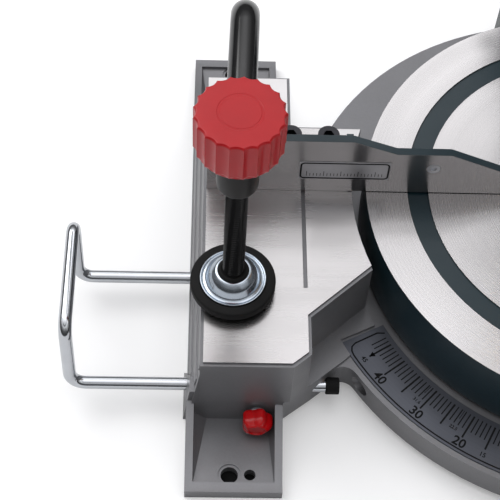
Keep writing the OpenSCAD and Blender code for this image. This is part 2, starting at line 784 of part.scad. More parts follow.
// Thumb lever under the arm, on its own cross pin
module detent_lever() {
    pin = lever_w / 2 + gap + cheek_t;
    color([0.1, 0.1, 0.1]) {
        block([-lever_w / 2, -lever_front, lever_h - lever_t], [lever_w / 2, -lever_pivot_y + lever_t, lever_h]);
        bar_x(-lever_w / 2, -lever_pivot_y, lever_pivot_h, m4_r + lever_t, lever_w);
        bar_x(-pin, -lever_pivot_y, lever_pivot_h, m4_r, 2 * pin);
        block([-lever_w / 2, -lever_pivot_y - lever_t, lever_h - lever_t],
            [lever_w / 2, -lever_pivot_y + lever_t, lever_pivot_h]);
        block([-lever_w / 2, -lever_front - lever_t, lever_h - lever_t * 2], [lever_w / 2, -lever_front, lever_h]);
    }
}

// Hold-down clamp: post and arm in one bent bar, with an eye round the spindle
eye_r = 10.8;
eye_h = 22;
post_low = 8;
arm_bend = 22;
pad_top = table_h + pad_gap + pad_t;
dome_r = 18.5;
dome_h = 12;
neck_r = 8.5;
collar_r = 14;
collar_h = 9;
collar_up = 6;
collar_z = table_h + collar_up;
module at_spindle() {
    translate([-post_x, post_y, 0]) rotate([0, 0, clamp_swing]) translate([0, -clamp_reach, 0]) children();
}
module clamp_collar() {
    color([0.12, 0.12, 0.13]) difference() {
        translate([-post_x, post_y, collar_z]) cylinder(h = collar_h, r = collar_r);
        translate([-post_x, post_y, collar_z - over]) cylinder(h = collar_h + 2 * over, r = post_r + run);
    }
}
module clamp_arm() {
    color([0.05, 0.05, 0.05]) difference() {
        union() {
            translate([-post_x, post_y, 0]) rotate([0, 0, clamp_swing])
                bent_bar([[0, 0, post_low], [0, 0, clamp_arm_h], [0, -clamp_reach, clamp_arm_h]], post_r, arm_bend);
            at_spindle() translate([0, 0, clamp_arm_h - eye_h / 2 - over]) cylinder(h = eye_h, r = eye_r);
            // Shoulder that the collar carries
            translate([-post_x, post_y, collar_z + collar_h + gap])
                cylinder(h = collar_h / 2, r = post_r + 2 * over);
        }
        at_spindle() translate([0, 0, clamp_arm_h - eye_h]) cylinder(h = 2 * eye_h, r = spindle_r + run);
    }
}
knob_low = knob_top_h - knob_h;
module clamp_spindle() {
    color("silver") at_spindle() {
        translate([0, 0, pad_top + dome_h / 2]) cylinder(h = knob_low + knob_h / 2 - pad_top - dome_h / 2, r = spindle_r);
        translate([0, 0, knob_low - m8_head_r]) cylinder(h = m8_head_r, r = neck_r);
    }
}
module clamp_knob() {
    color([0.7, 0.1, 0.14]) at_spindle() translate([0, 0, knob_low]) difference() {
        union() {
            linear_extrude(knob_h - lip_w) knob_plan(knob_r, knob_flutes, knob_groove);
            translate([0, 0, knob_h - lip_w])
                cylinder(h = lip_w, r1 = knob_r - knob_groove, r2 = knob_r - knob_groove - lip_w);
        }
        translate([0, 0, -over]) cylinder(h = knob_h / 2 + over, r = spindle_r);
    }
}
knob_groove = 1.3;
module knob_plan(r, n, depth) {
    difference() {
        circle(r);
        for (i = [0 : n - 1]) rotate(i * 360 / n) translate([r + depth * 0.6, 0]) circle(depth * 1.6);
    }
}
module clamp_dome() {
    color([0.08, 0.08, 0.08]) at_spindle() difference() {
        union() {
            translate([0, 0, pad_top]) cylinder(h = dome_h / 3, r = dome_r);
            translate([0, 0, pad_top + dome_h / 3]) cylinder(h = dome_h * 2 / 3, r1 = dome_r, r2 = spindle_r + 3 * over);
        }
        translate([0, 0, pad_top + dome_h / 2 - gap]) cylinder(h = dome_h, r = spindle_r + run);
    }
}
module clamp_pad() {
    color([0.16, 0.16, 0.17]) at_spindle() {
        translate([0, 0, table_h + pad_gap]) cylinder(h = pad_t * 2 / 3, r = pad_r);
        translate([0, 0, table_h + pad_gap + pad_t * 2 / 3]) cylinder(h = pad_t / 3, r1 = pad_r, r2 = pad_r - pad_t / 3);
    }
}
// Screw in the rear wall that grips the post
screw_head_out = 4;
screw_head_y = block_rear + screw_head_out;
module clamp_post_screw() {
    color([0.7, 0.1, 0.14]) {
        bar_y(-post_x, post_y + post_r + gap, post_screw_h, m6_r, screw_head_y - post_y - post_r);
        translate([-post_x, screw_head_y + thumb_len, post_screw_h]) rotate([90, 0, 0])
            linear_extrude(thumb_len) knob_plan(thumb_r, thumb_lobes, thumb_groove);
    }
}
thumb_len = 11;
thumb_lobes = 5;
thumb_groove = 2.4;
washer_t = 1.6;

// Sliding extension: one bent wire, its outer bar level with the table
module wire_half() {
    top = table_h - wire_r;
    in_x = -cap_x + cap_len - cast_wall / 2;
    bent_bar([[in_x, -wire_front_y, wire_h], [-wire_bar_x, -wire_front_y, wire_h],
        [-wire_bar_x, -wire_front_y + wire_lean, top], [-wire_bar_x, -wire_rear_y + wire_lean, top],
        [-wire_bar_x, -wire_rear_y, wire_h], [in_x, -wire_rear_y, wire_h]], wire_r, wire_bend);
}
module wire_caps_half() {
    for (y = [-wire_front_y, -wire_rear_y]) difference() {
        bar_x(-cap_x, y, wire_h, cap_r, cap_len);
        bar_x(-cap_x - over, y, wire_h, wire_r, cap_len - cast_wall / 2 + over);
    }
}
module extension_wire_left() color("silver") wire_half();
module extension_wire_right() color("silver") mirror([1, 0, 0]) wire_half();
module wire_caps_left() color([0.08, 0.08, 0.08]) wire_caps_half();
module wire_caps_right() color([0.08, 0.08, 0.08]) mirror([1, 0, 0]) wire_caps_half();

// Five-lobed screw in the front wall that grips the front rod
thumb_face = table_front + front_draft;
module thumbscrew_half() {
    translate([-thumb_x, -thumb_face - washer_t, wire_h]) rotate([90, 0, 0])
        linear_extrude(thumb_len) knob_plan(thumb_r, thumb_lobes, thumb_groove);
    bar_y(-thumb_x, -thumb_face - washer_t, wire_h, m6_r * 2, washer_t - gap / 2);
    bar_y(-thumb_x, -thumb_face - washer_t, wire_h, m6_r, thumb_face + washer_t - wire_front_y - wire_r - gap);
}
module thumbscrew_left() color([0.75, 0.08, 0.1]) thumbscrew_half();
module thumbscrew_right() color([0.75, 0.08, 0.1]) mirror([1, 0, 0]) thumbscrew_half();

// Tilting bracket behind the turntable
ear_in = 20;
ear_t = 12;
ear_r = 12;
ear_rear = pivot_y + ear_r;
web_top = table_h + tilt_r + 10 * over;
tilt_plate_y = tilt_face_y + gap;
lock_drop = 22;
lock_pin_r = 2.5;
lock_turn = 9.5;
peg_r = 2.5;
module arc_slot_plan() {
    half = stud_r + gap;
    for (a = [stud_angle, stud_angle - bevel_max]) rotate(a) translate([stud_reach, 0]) circle(half - run);
    rotate(stud_angle - bevel_max) difference() {
        polygon(concat([[0, 0]], [for (i = [0 : 8]) (stud_reach + 3 * half) * [cos(i * bevel_max / 8), sin(i * bevel_max / 8)]]));
        circle(stud_reach - half);
        difference() {
            circle(stud_reach + 6 * half);
            circle(stud_reach + half);
        }
    }
}
module ear_plan() {
    translate([pivot_y, pivot_z]) circle(ear_r);
    polygon([[tilt_plate_y, table_h], [tilt_plate_y, table_h + tilt_r + 2 * over],
        [pivot_y - ear_r, table_h + tilt_r + ear_r], [pivot_y - ear_r, pivot_z], [ear_rear, pivot_z],
        [ear_rear, table_h]]);
}
module tilt_bracket() {
    color(fence_green) difference() {
        union() {
            bar_y(0, tilt_plate_y, table_h, tilt_r, tilt_plate_t);
            for (x = [-ear_in - ear_t, ear_in]) along_x(x, ear_t) ear_plan();
            block([-ear_in - over, tilt_plate_y, table_h + tilt_r - 3 * ear_t / 2],
                [ear_in + over, tilt_plate_y + cast_wall, web_top]);
            block([-ear_in - over, ear_rear - cast_wall - 2 * over, table_h + tilt_r - ear_t],
                [ear_in + over, ear_rear, web_top]);
        }
        bar_y(0, tilt_face_y, table_h, m12_r + run, tilt_plate_t + over);
        translate([0, tilt_face_y + tilt_plate_t + over, table_h]) rotate([90, 0, 0])
            linear_extrude(tilt_plate_t + over) arc_slot_plan();
        bar_y(0, tilt_face_y + gap + tilt_plate_t, table_h, nut_r + over, 2 * ear_r);
        bar_x(-ear_in - ear_t - over, pivot_y, pivot_z, m12_r + fit, 2 * (ear_in + ear_t + over));
        bar_x(-ear_in - ear_t - over, pivot_y, pivot_z - lock_drop, lock_pin_r + run, ear_t + 2 * over);
        translate([spring_x[1], pivot_y + spring_r, web_top - lock_drop / 2]) cylinder(h = lock_drop, r = spring_wire_r + gap);
        bar_y(0, tilt_face_y, web_top - cast_wall, m4_r + fit, cast_wall * 2);
    }
}
// Pointer from the bracket, over the rim of the flange to the bevel scale
module bevel_pointer() {
    under = table_h + tilt_r + over;
    front = tilt_face_y - tilt_flange_t - scale_t - gap;
    color([0.75, 0.08, 0.1]) {
        difference() {
            block([-mark_head_r, tilt_plate_y - pointer_t, under], [mark_head_r, tilt_plate_y, web_top]);
            bar_y(0, tilt_face_y - pointer_t - over, web_top - cast_wall, m4_r + fit, cast_wall);
        }
        block([-mark_head_r, front - pointer_t, under], [mark_head_r, tilt_plate_y, under + pointer_t]);
        along_y(front - pointer_t, pointer_t)
            polygon([[-mark_head_r, under + pointer_t], [mark_head_r, under + pointer_t],
                [mark_head_r, under], [0, under - mark_head_r * 2], [-mark_head_r, under]]);
        translate([0, tilt_plate_y - pointer_t, web_top - cast_wall]) rotate([90, 0, 0])
            socket_screw(m4_r, mark_head_r, mark_head_t, pointer_t + cast_wall);
    }
}
lever_hub_r = 9;
lever_hub_y = tilt_plate_y + tilt_plate_t + gap;
lever_ball_r = 12;
lever_bar_r = 4.5;
lever_ball_x = 75;
lever_ball = [lever_ball_x, lever_end - lever_ball_r, stud_z + 2 * over];
module bevel_lock_lever() {
    mid = [stud_x, lever_hub_y + 2 * lever_hub_r, stud_z];
    color([0.12, 0.12, 0.13]) difference() {
        union() {
            bar_y(stud_x, lever_hub_y, stud_z, lever_hub_r, 3 * lever_hub_r);
            bar(mid, lever_ball, lever_bar_r);
            translate(lever_ball) sphere(r = lever_ball_r);
        }
        bar_y(stud_x, lever_hub_y - over, stud_z, stud_r + run, 2 * lever_hub_r);
    }
}
module chop_axle() {
    end = ear_in + ear_t;
    color("silver") {
        bar_x(-end - m6_head_h, pivot_y, pivot_z, m12_r, 2 * end + m6_head_h + over);
        bar_x(-end - m6_head_h, pivot_y, pivot_z, m12_r + 3 * over, m6_head_h);
        hex_x(end, pivot_y, pivot_z, m12_r + 4 * over, hex_h);
    }
}
// Torsion spring on the axle: one leg lifts the head, one stands on the bracket
spring_r = 9.6;
spring_wire_r = 1.2;
spring_x = [8.6, 18.3];
spring_turns = 3;
spring_leg = [30, 36];
spring_from = 90 - chop_max;
rings_per_turn = 8;
ring_sides = 6;
function coil_at(a, x) = [x, pivot_y + spring_r * cos(a), pivot_z + spring_r * sin(a)];
function coil_ring(c, a) = [for (j = [0 : ring_sides - 1])
    c + spring_wire_r * (cos(j * 360 / ring_sides) * [0, cos(a), sin(a)] + sin(j * 360 / ring_sides) * [1, 0, 0])];
module chop_spring() {
    steps = spring_turns * rings_per_turn + 1;
    turned = 360 * spring_turns + spring_from;
    mid = [for (i = [0 : steps]) let (a = spring_from - turned * i / steps)
        coil_ring(coil_at(a, spring_x[0] + (spring_x[1] - spring_x[0]) * i / steps), a)];
    start = coil_ring(coil_at(spring_from, spring_x[0]) + spring_leg[0] * [0, -sin(spring_from), cos(spring_from)], spring_from);
    last = coil_ring(coil_at(0, spring_x[1]) - spring_leg[1] * [0, 0, 1], 0);
    rows = concat([start], mid, [last]);
    n = len(rows);
    color("silver") polyhedron(points = [for (r = rows) each r],
        faces = concat([[for (j = [0 : ring_sides - 1]) j]],
            [[for (j = [ring_sides - 1 : -1 : 0]) (n - 1) * ring_sides + j]],
            [for (i = [0 : n - 2]) for (j = [0 : ring_sides - 1]) let (k = (j + 1) % ring_sides) each [
                [i * ring_sides + j, (i + 1) * ring_sides + j, (i + 1) * ring_sides + k],
                [i * ring_sides + j, (i + 1) * ring_sides + k, i * ring_sides + k]]]));
}
echo(spring_gap = (spring_x[1] - spring_x[0]) / (spring_turns + spring_from / 360) - 2 * spring_wire_r);

// Saw head, drawn lowered and then lifted about the chop pivot
guard_half = 14;
guard_skirt = 22;
guard_wall = 4;
hub_half = 19.5;
hub_end = 6;
arm_hub_r = 14;
case_w = 38;
case_wall = 4;
cover_t = 6;
case_r = 43;
cover_x = guard_half + case_w;
motor_x = cover_x + cover_t;
nose_r = 24;
guard_nose_x = 5.4;
shaft_r = 7.5;
rotor_r = 5;
module raised() {
    translate([0, pivot_y, pivot_z]) rotate([-chop_max, 0, 0]) translate([0, -pivot_y, -pivot_z]) children();
}
// Flat strip and a disc, in the y-z plane
module strip(a, b, r) {
    side = r * [-(b - a)[1], (b - a)[0]] / norm(b - a);
    polygon([a + side, b + side, b - side, a - side]);
}
module disc(y, z, r) translate([y, z]) circle(r);
module case_plan() {
    disc(blade_y, blade_h, case_r);
    disc(motor_y, motor_h, motor_r + 2 * over);
    for (i = [0 : 5]) disc(case_screw(i)[0], case_screw(i)[1], lug_r);
}
module guard_plan() {
    difference() {
        disc(blade_y, blade_h, guard_r);
        translate([blade_y - 2 * guard_r, blade_h - guard_skirt - 2 * guard_r]) square([4 * guard_r, 2 * guard_r]);
    }
    polygon(head_arm(0));
    disc(pivot_y, pivot_z, arm_hub_r);
}
function head_arm(wall) = [
    [blade_y + (guard_r - guard_wall / 2) * cos(50) + 2 * wall, blade_h + (guard_r - guard_wall / 2) * sin(50) - 2 * wall],
    [pivot_y - 2, pivot_z + arm_hub_r - wall], [pivot_y + 2, pivot_z - arm_hub_r + wall],
    [blade_y + guard_r - 2 * over + wall, blade_h - guard_skirt + wall],
    [blade_y + cavity_r * cos(30) + wall, blade_h + cavity_r / 2]];
cavity_r = guard_r - guard_wall;
cavity_x = [-11, 10];
lug_r = 6;
lug_angle = [140, 215, 290, -20, 40, 100];
function case_screw(i) = (i < 3 ? [blade_y, blade_h] : [motor_y, motor_h]) +
    (i < 3 ? case_r + m4_r : motor_r + mark_head_r + over) * [cos(lug_angle[i]), sin(lug_angle[i])];
module upper_guard() {
    color([0.5, 0.51, 0.53]) raised() difference() {
        union() {
            difference() {
                union() {
                    along_x(-guard_half, 2 * guard_half) guard_plan();
                    along_x(guard_half - over, case_w + over) case_plan();
                }
                along_x(cavity_x[0], cavity_x[1] - cavity_x[0]) disc(blade_y, blade_h, cavity_r);
                // Pocket in the arm, and room for the spring
                along_x(-guard_half + 2 * guard_wall, 3 * guard_half) difference() {
                    polygon(head_arm(2 * guard_wall));
                    disc(blade_y, blade_h, guard_r);
                }
                bar_x(hub_end, pivot_y, pivot_z, arm_hub_r + 2 * over, 2 * guard_half);
            }
            bar_x(-hub_half, pivot_y, pivot_z, arm_hub_r, hub_half + hub_end);
            along_x(-hub_half, ear_in / 2) {
                strip([pivot_y, pivot_z], [pivot_y, pivot_z - lock_drop], m12_r - over / 2);
                disc(pivot_y, pivot_z - lock_drop, m12_r);
            }
            bar_x(guard_nose_x, blade_y, blade_h, nose_r, cavity_x[1] - guard_nose_x + over);
            bar_x(-guard_half + guard_wall, spring_peg[0], spring_peg[1], peg_r, 2 * guard_half - guard_wall - over);
        }
        // Gear room
        along_x(guard_half + case_wall, case_w) {
            disc(blade_y, blade_h, case_r - case_wall / 2);
            disc(motor_y, motor_h, pinion_room_r);
        }
        for (i = [0 : 5])
            bar_x(cover_x - 2 * cover_t, case_screw(i)[0], case_screw(i)[1], m4_r + fit, 3 * cover_t);
        bar_x(-guard_half, blade_y, blade_h, shaft_r + run, 3 * guard_half);
        bar_x(guard_half + over, motor_y, motor_h, rotor_r + run, case_wall);
        bar_x(-hub_half - over, pivot_y, pivot_z, m12_r + run, 2 * hub_half + 2 * over);
        bar_x(-hub_half - over, pivot_y, pivot_z - lock_drop, lock_pin_r + gap, ear_in);
        // Dust way, button bore of the arbor lock
        bar([0, blade_y, blade_h] + (cavity_r - 2 * guard_wall) * dust_dir, [0, blade_y, blade_h] + (guard_r + over) * dust_dir, dust_in_r / 2);
        bar_y(arbor_lock_x, blade_y - case_r - over, blade_h, m6_r + run, case_wall + 2 * over);
    }
}
pinion_room_r = 10;
spring_peg_in = 26;
spring_peg = [pivot_y - spring_peg_in, pivot_z + spring_r + spring_wire_r + peg_r];
dust_angle = 74;
dust_dir = [0, cos(dust_angle), sin(dust_angle)];
dust_in_r = 16;
dust_len = 46;
arbor_lock_x = 27;
module gear_cover() {
    color([0.4, 0.41, 0.43]) raised() difference() {
        along_x(cover_x, cover_t) case_plan();
        bar_x(cover_x - over, blade_y, blade_h, shaft_r + run, cover_t);
        bar_x(cover_x - over, motor_y, motor_h, rotor_r + run, cover_t + 2 * over);
        for (i = [0 : 5])
            bar_x(cover_x - over, case_screw(i)[0], case_screw(i)[1], m4_r + fit, cover_t + 2 * over);
    }
}
shell_t = 3;
cap_len_x = 14;
cap_at = motor_x + motor_len - cap_len_x;
vents = 10;
module motor_housing() {
    color([0.1, 0.1, 0.1]) raised() difference() {
        bar_x(motor_x, motor_y, motor_h, motor_r, motor_len - cap_len_x);
        bar_x(motor_x + shell_t, motor_y, motor_h, motor_r - shell_t, motor_len);
        bar_x(motor_x - over, motor_y, motor_h, rotor_r + over, shell_t + 2 * over);
        // Air slots by the fan
        translate([0, motor_y, motor_h]) for (i = [0 : vents - 1])
            rotate([i * 360 / vents, 0, 0])
                block([motor_x + 2 * shell_t, -shell_t / 2, motor_r / 2], [motor_x + 6 * shell_t, shell_t / 2, motor_r + over]);
    }
}
module motor_cap() {
    color([0.07, 0.17, 0.19]) raised() difference() {
        union() {
            bar_x(cap_at, motor_y, motor_h, motor_r, cap_len_x / 2);
            translate([cap_at + cap_len_x / 2, motor_y, motor_h]) rotate([0, 90, 0])
                cylinder(h = cap_len_x / 2, r1 = motor_r, r2 = motor_r - 2 * shell_t);
        }
        bar_x(cap_at - over, motor_y, motor_h, motor_r - 2 * shell_t, shell_t + over);
        bar_x(cap_at - over, motor_y, motor_h, rotor_r + run, cap_len_x - shell_t);
        translate([0, motor_y, motor_h]) for (i = [0 : vents - 1])
            rotate([i * 360 / vents, 0, 0])
                block([cap_at - over, -shell_t / 2, motor_r / 3], [cap_at + 2 * cap_len_x, shell_t / 2, motor_r - 3 * shell_t]);
    }
}
core_in = 22;
core_x = motor_x + core_in;
core_len = 46;
stator_in = 26;
module motor_stator() {
    color([0.45, 0.3, 0.2]) raised() difference() {
        bar_x(core_x, motor_y, motor_h, motor_r - shell_t, core_len);
        bar_x(core_x - over, motor_y, motor_h, stator_in, core_len + 2 * over);
    }
}
module armature() {
    color([0.6, 0.6, 0.62]) raised() {
        bar_x(guard_half + 3 * over / 2, motor_y, motor_h, rotor_r, cap_at + cap_len_x / 2 - guard_half);
        bar_x(core_x, motor_y, motor_h, stator_in - 2 * over, core_len);
        bar_x(core_x + core_len + 2 * shell_t, motor_y, motor_h, 2 * rotor_r, 2 * shaft_r);
        translate([gear_x - over, motor_y, motor_h]) rotate([90, 0, 90]) rotate(motor_angle + 180 + 180 / pinion_teeth)
            linear_extrude(gear_w + 2 * over) gear_plan(pinion_teeth);
    }
}
fan_blades = 9;
module motor_fan() {
    fan_x = motor_x + 2 * shell_t;
    color([0.12, 0.12, 0.13]) raised() difference() {
        union() {
            bar_x(fan_x, motor_y, motor_h, motor_r - 2 * shell_t, over * 2);
            bar_x(fan_x, motor_y, motor_h, 2 * rotor_r, 4 * shell_t);
            translate([0, motor_y, motor_h]) for (i = [0 : fan_blades - 1])
                rotate([i * 360 / fan_blades, 0, 0])
                    block([fan_x, -over, rotor_r * 3 / 2], [fan_x + 3 * shell_t, over, motor_r - 2 * shell_t - over]);
        }
        bar_x(fan_x - over, motor_y, motor_h, rotor_r, motor_len);
    }
}

// Involute tooth outline
gear_in = 22;
gear_x = guard_half + gear_in;
gear_pressure = 20;
gear_backlash = 0.2;
function tooth_half(n, r) = let (pitch = gear_module * n / 2, a = r * 1 > pitch * cos(gear_pressure) ?
    acos(pitch * cos(gear_pressure) / r) : 0)
    90 / n - gear_backlash + (tan(gear_pressure) - tan(a)) * 180 / PI - gear_pressure + a;
module gear_plan(n) {
    pitch = gear_module * n / 2;
    rows = [pitch - 1.1 * gear_module, pitch - 0.4 * gear_module, pitch + 0.2 * gear_module, pitch + 0.8 * gear_module];
    polygon([for (i = [0 : n - 1]) each concat(
        [for (k = [0 : 3]) let (a = 360 * i / n - tooth_half(n, rows[k])) rows[k] * [cos(a), sin(a)]],
        [for (k = [3 : -1 : 0]) let (a = 360 * i / n + tooth_half(n, rows[k])) rows[k] * [cos(a), sin(a)]])]);
}
module driven_gear() {
    color([0.55, 0.55, 0.5]) raised() difference() {
        translate([gear_x, blade_y, blade_h]) rotate([90, 0, 90]) rotate(motor_angle)
            linear_extrude(gear_w) gear_plan(gear_teeth);
        bar_x(gear_x - over, blade_y, blade_h, shaft_r, gear_w + 2 * over);
        bar_x(gear_x + 2 * gear_w / 3, blade_y, blade_h, gear_dist * 2 / 3, gear_w);
    }
}
module spindle() {
    color("silver") raised() difference() {
        union() {
            bar_x(-blade_kerf, blade_y, blade_h, shaft_r, cover_x + cover_t + blade_kerf - 2 * over);
            bar_x(arbor_lock_x - 2 * m6_r, blade_y, blade_h, shaft_r + 2 * over, 3 * m6_r);
        }
        bar_x(-blade_kerf - over, blade_y, blade_h, m8_r + fit, screw_depth + 2 * blade_kerf);
    }
}
flange_r = 21;
flange_t = 3.6;
module blade_flanges() {
    color([0.6, 0.6, 0.62]) raised() {
        difference() {
            bar_x(blade_t / 2, blade_y, blade_h, flange_r, flange_t);
            bar_x(0, blade_y, blade_h, shaft_r, 2 * flange_t);
        }
        difference() {
            bar_x(-blade_t / 2 - flange_t, blade_y, blade_h, flange_r, flange_t);
            bar_x(-blade_kerf - gap / 2, blade_y, blade_h, shaft_r + fit, flange_t);
            bar_x(-2 * flange_t, blade_y, blade_h, m8_r + fit, 3 * flange_t);
        }
    }
}
module arbor_bolt() {
    out = -blade_t / 2 - flange_t;
    color([0.2, 0.2, 0.2]) raised() {
        bar_x(out - over, blade_y, blade_h, m8_r, screw_depth);
        hex_x(out - cast_wall, blade_y, blade_h, 2 * m8_r, cast_wall);
    }
}
tooth_h = 6;
module saw_blade() {
    step = 360 / blade_teeth;
    color([0.75, 0.76, 0.78]) raised() translate([0, blade_y, blade_h]) rotate([90, 0, 90]) difference() {
        translate([0, 0, -blade_t / 2]) linear_extrude(blade_t) polygon([for (i = [0 : blade_teeth - 1])
            each [for (s = [[0, 0], [0.3, 1.2], [0.5, tooth_h], [0.9, tooth_h]])
                (blade_r - s[1]) * [cos((i + s[0]) * step), sin((i + s[0]) * step)]]]);
        translate([0, 0, -blade_t]) cylinder(h = 2 * blade_t, r = shaft_r);
        for (i = [0 : 3]) rotate(i * 90 + 20) {
            translate([blade_r - 5 * tooth_h, 0, -blade_t]) cylinder(h = 2 * blade_t, r = blade_t);
            block([blade_r - 5 * tooth_h, -gap, -blade_t], [blade_r - tooth_h / 2, gap, blade_t]);
        }
    }
}
lower_room = 6;
lower_r = guard_r - lower_room;
lower_x = [-9.8, 8.8];
lower_wall = 1.5;
lower_from = 192;
lower_lap = 6;
lower_span = guard_turn + lower_lap;
module lower_plan() {
    intersection() {
        disc(blade_y, blade_h, lower_r);
        translate([blade_y, blade_h]) polygon(concat([[0, 0]],
            [for (i = [0 : 4]) 2 * lower_r * [cos(lower_from + i * lower_span / 4), sin(lower_from + i * lower_span / 4)]]));
    }
}
module lower_guard() {
    left = lower_x[0];
    out = lower_x[1];
    color([0.75, 0.55, 0.2]) raised() {
        along_x(out - lower_wall, lower_wall) difference() {
            union() {
                lower_plan();
                disc(blade_y, blade_h, nose_r + cast_wall);
            }
            disc(blade_y, blade_h, nose_r + run);
        }
        along_x(left + lower_wall / 2, out - left - lower_wall) difference() {
            lower_plan();
            disc(blade_y, blade_h, lower_r - lower_wall);
        }
        along_x(left, lower_wall) difference() {
            lower_plan();
            disc(blade_y, blade_h, nose_r + 2 * cast_wall);
        }
    }
}

// D handle in two halves, with the trigger inside its grip
grip_r = 14;
handle_at = [blade_y, blade_h];
grip_from = handle_at + [-66, 148];
grip_to = handle_at + [-162, 118];
handle_path = [handle_at + [-45, 82], grip_from + [8, 6], grip_to + [-12, 6], handle_at + [-174, 62],
    handle_at + [-88, 42]];
grip_angle = atan2(grip_to[1] - grip_from[1], grip_to[0] - grip_from[0]);
// Corners of a path cut twice, and the path widened to a band
function smooth(p) = concat([p[0]], [for (i = [0 : len(p) - 2]) each
    [(3 * p[i] + p[i + 1]) / 4, (p[i] + 3 * p[i + 1]) / 4]], [p[len(p) - 1]]);
function beside(p, i, r) = let (a = unit(i > 0 ? p[i] - p[i - 1] : p[1] - p[0]),
    b = i < len(p) - 1 ? unit(p[i + 1] - p[i]) : a, m = unit(a + b)) p[i] + r * [-m[1], m[0]] / (m * a);
module handle_solid() {
    path = smooth(smooth(handle_path));
    n = len(path);
    along_x(-grip_half, 2 * grip_half)
        polygon(concat([for (i = [0 : n - 1]) beside(path, i, grip_r)],
            [for (i = [n - 1 : -1 : 0]) beside(path, i, -grip_r)]));
}
grip_half = 13.5;
module at_grip() translate([0, grip_from[0], grip_from[1]]) rotate([grip_angle, 0, 0]) children();
trigger_w = 11;
trigger_pin = [28, 8];
trigger_room = [6, 36];
trigger_shape = [[-3, -4], [-4, 2], [0, 9], [6, 14], [16, 15], [27, 13], [31, 8], [31, -4]];
button_s = 12;
button_r = 5;
module handle_cut() {
    along_x(-2 * guard_half, 4 * guard_half) disc(blade_y, blade_h, guard_r);
    at_grip() {
        block([-trigger_w / 2 - gap, trigger_pin[0] - trigger_room[0], -cast_wall],
            [trigger_w / 2 + gap, trigger_pin[0] + trigger_room[1], 2 * grip_r]);
        bar_x(-grip_r * 2 / 3, trigger_pin[0], trigger_pin[1], m4_r + run, grip_r * 4 / 3);
        bar_x(-2 * grip_r, button_s, 0, button_r + run, 2 * grip_r - cast_wall);
    }
    for (p = handle_screw_at)
        bar_x(-grip_r / 2, p[0], p[1], m4_r + fit, grip_r);
    for (p = handle_screw_at)
        bar_x(-2 * grip_r, p[0], p[1], mark_head_r + fit, 2 * grip_r - grip_r / 2);
}
handle_screw_at = [for (p = [[-54, 118], [-160, 96], [-134, 62]]) handle_at + p];
module handle_left() {
    color([0.08, 0.08, 0.08]) raised() difference() {
        handle_solid();
        handle_cut();
        block([0, -2 * table_half_w, 0], [2 * guard_half, pivot_y, 3 * pivot_z]);
    }
}
module handle_right() {
    color([0.08, 0.08, 0.08]) raised() difference() {
        handle_solid();
        handle_cut();
        block([-2 * guard_half, -2 * table_half_w, 0], [0, pivot_y, 3 * pivot_z]);
    }
}
module trigger() {
    s = trigger_pin[0];
    n = trigger_pin[1];
    color([0.75, 0.08, 0.1]) raised() at_grip() {
        along_x(-trigger_w / 2, trigger_w) polygon([for (p = trigger_shape) trigger_pin + p]);
        bar_x(-grip_r * 2 / 3 + gap, s, n, m4_r, grip_r * 4 / 3 - 2 * gap);
    }
}
module lock_off_button() {
    color([0.75, 0.08, 0.1]) raised() at_grip()
        bar_x(-grip_r - 2 * over, button_s, 0, button_r, grip_r + 2 * over - cast_wall - 4 * over);
}
module head_screws() {
    color("silver") raised() {
        for (i = [0 : 5])
            translate([motor_x, case_screw(i)[0], case_screw(i)[1]]) rotate([0, 90, 0])
                socket_screw(m4_r, mark_head_r, mark_head_t, cover_t + cast_wall);
        for (p = handle_screw_at) translate([-grip_r / 2, p[0], p[1]]) rotate([0, -90, 0])
            socket_screw(m4_r, mark_head_r, mark_head_t, grip_r - over);
    }
}
module dust_port() {
    from = [0, blade_y, blade_h] + guard_r * dust_dir;
    color([0.08, 0.08, 0.08]) raised() difference() {
        bar(from - guard_wall * dust_dir, from + dust_len * dust_dir, dust_in_r + guard_wall / 2 - over / 2);
        bar(from + guard_wall * dust_dir, from + (dust_len + over) * dust_dir, dust_in_r);
        bar(from - 2 * guard_wall * dust_dir, from + 2 * guard_wall * dust_dir, dust_in_r - guard_wall / 2);
        along_x(-2 * guard_half, 4 * guard_half) disc(blade_y, blade_h, guard_r);
    }
}
module cable_gland() {
    color([0.08, 0.08, 0.08]) raised() translate([gland_x, motor_y, motor_h]) difference() {
        union() {
            bar_y(0, 0, 0, gland_r, motor_r + cast_wall);
            translate([0, motor_r + cast_wall, 0]) rotate([-90, 0, 0])
                cylinder(h = gland_len, r1 = gland_r, r2 = gland_r * 2 / 3);
        }
        bar_x(-2 * gland_r, 0, 0, motor_r, 4 * gland_r);
        bar_y(0, 0, 0, gland_r / 2, 2 * motor_r);
    }
}
gland_along = 84;
gland_x = motor_x + gland_along;
gland_r = 8;
gland_len = 24;
module arbor_lock() {
    top = blade_y - case_r;
    color([0.75, 0.08, 0.1]) raised() {
        bar_y(arbor_lock_x, top - cast_wall, blade_h, m6_r, cast_wall + case_r - shaft_r - cast_wall - 2 * over);
        bar_y(arbor_lock_x, top - 2 * cast_wall, blade_h, 2 * m6_r, cast_wall);
    }
}
module lock_pin() {
    out = -ear_in - ear_t;
    color("silver") {
        bar_x(out - lock_turn, pivot_y, pivot_z - lock_drop, lock_pin_r, ear_t + lock_turn - over);
        bar_x(out - lock_turn - cast_wall, pivot_y, pivot_z - lock_drop, m6_r + 3 * over, cast_wall + over);
    }
}

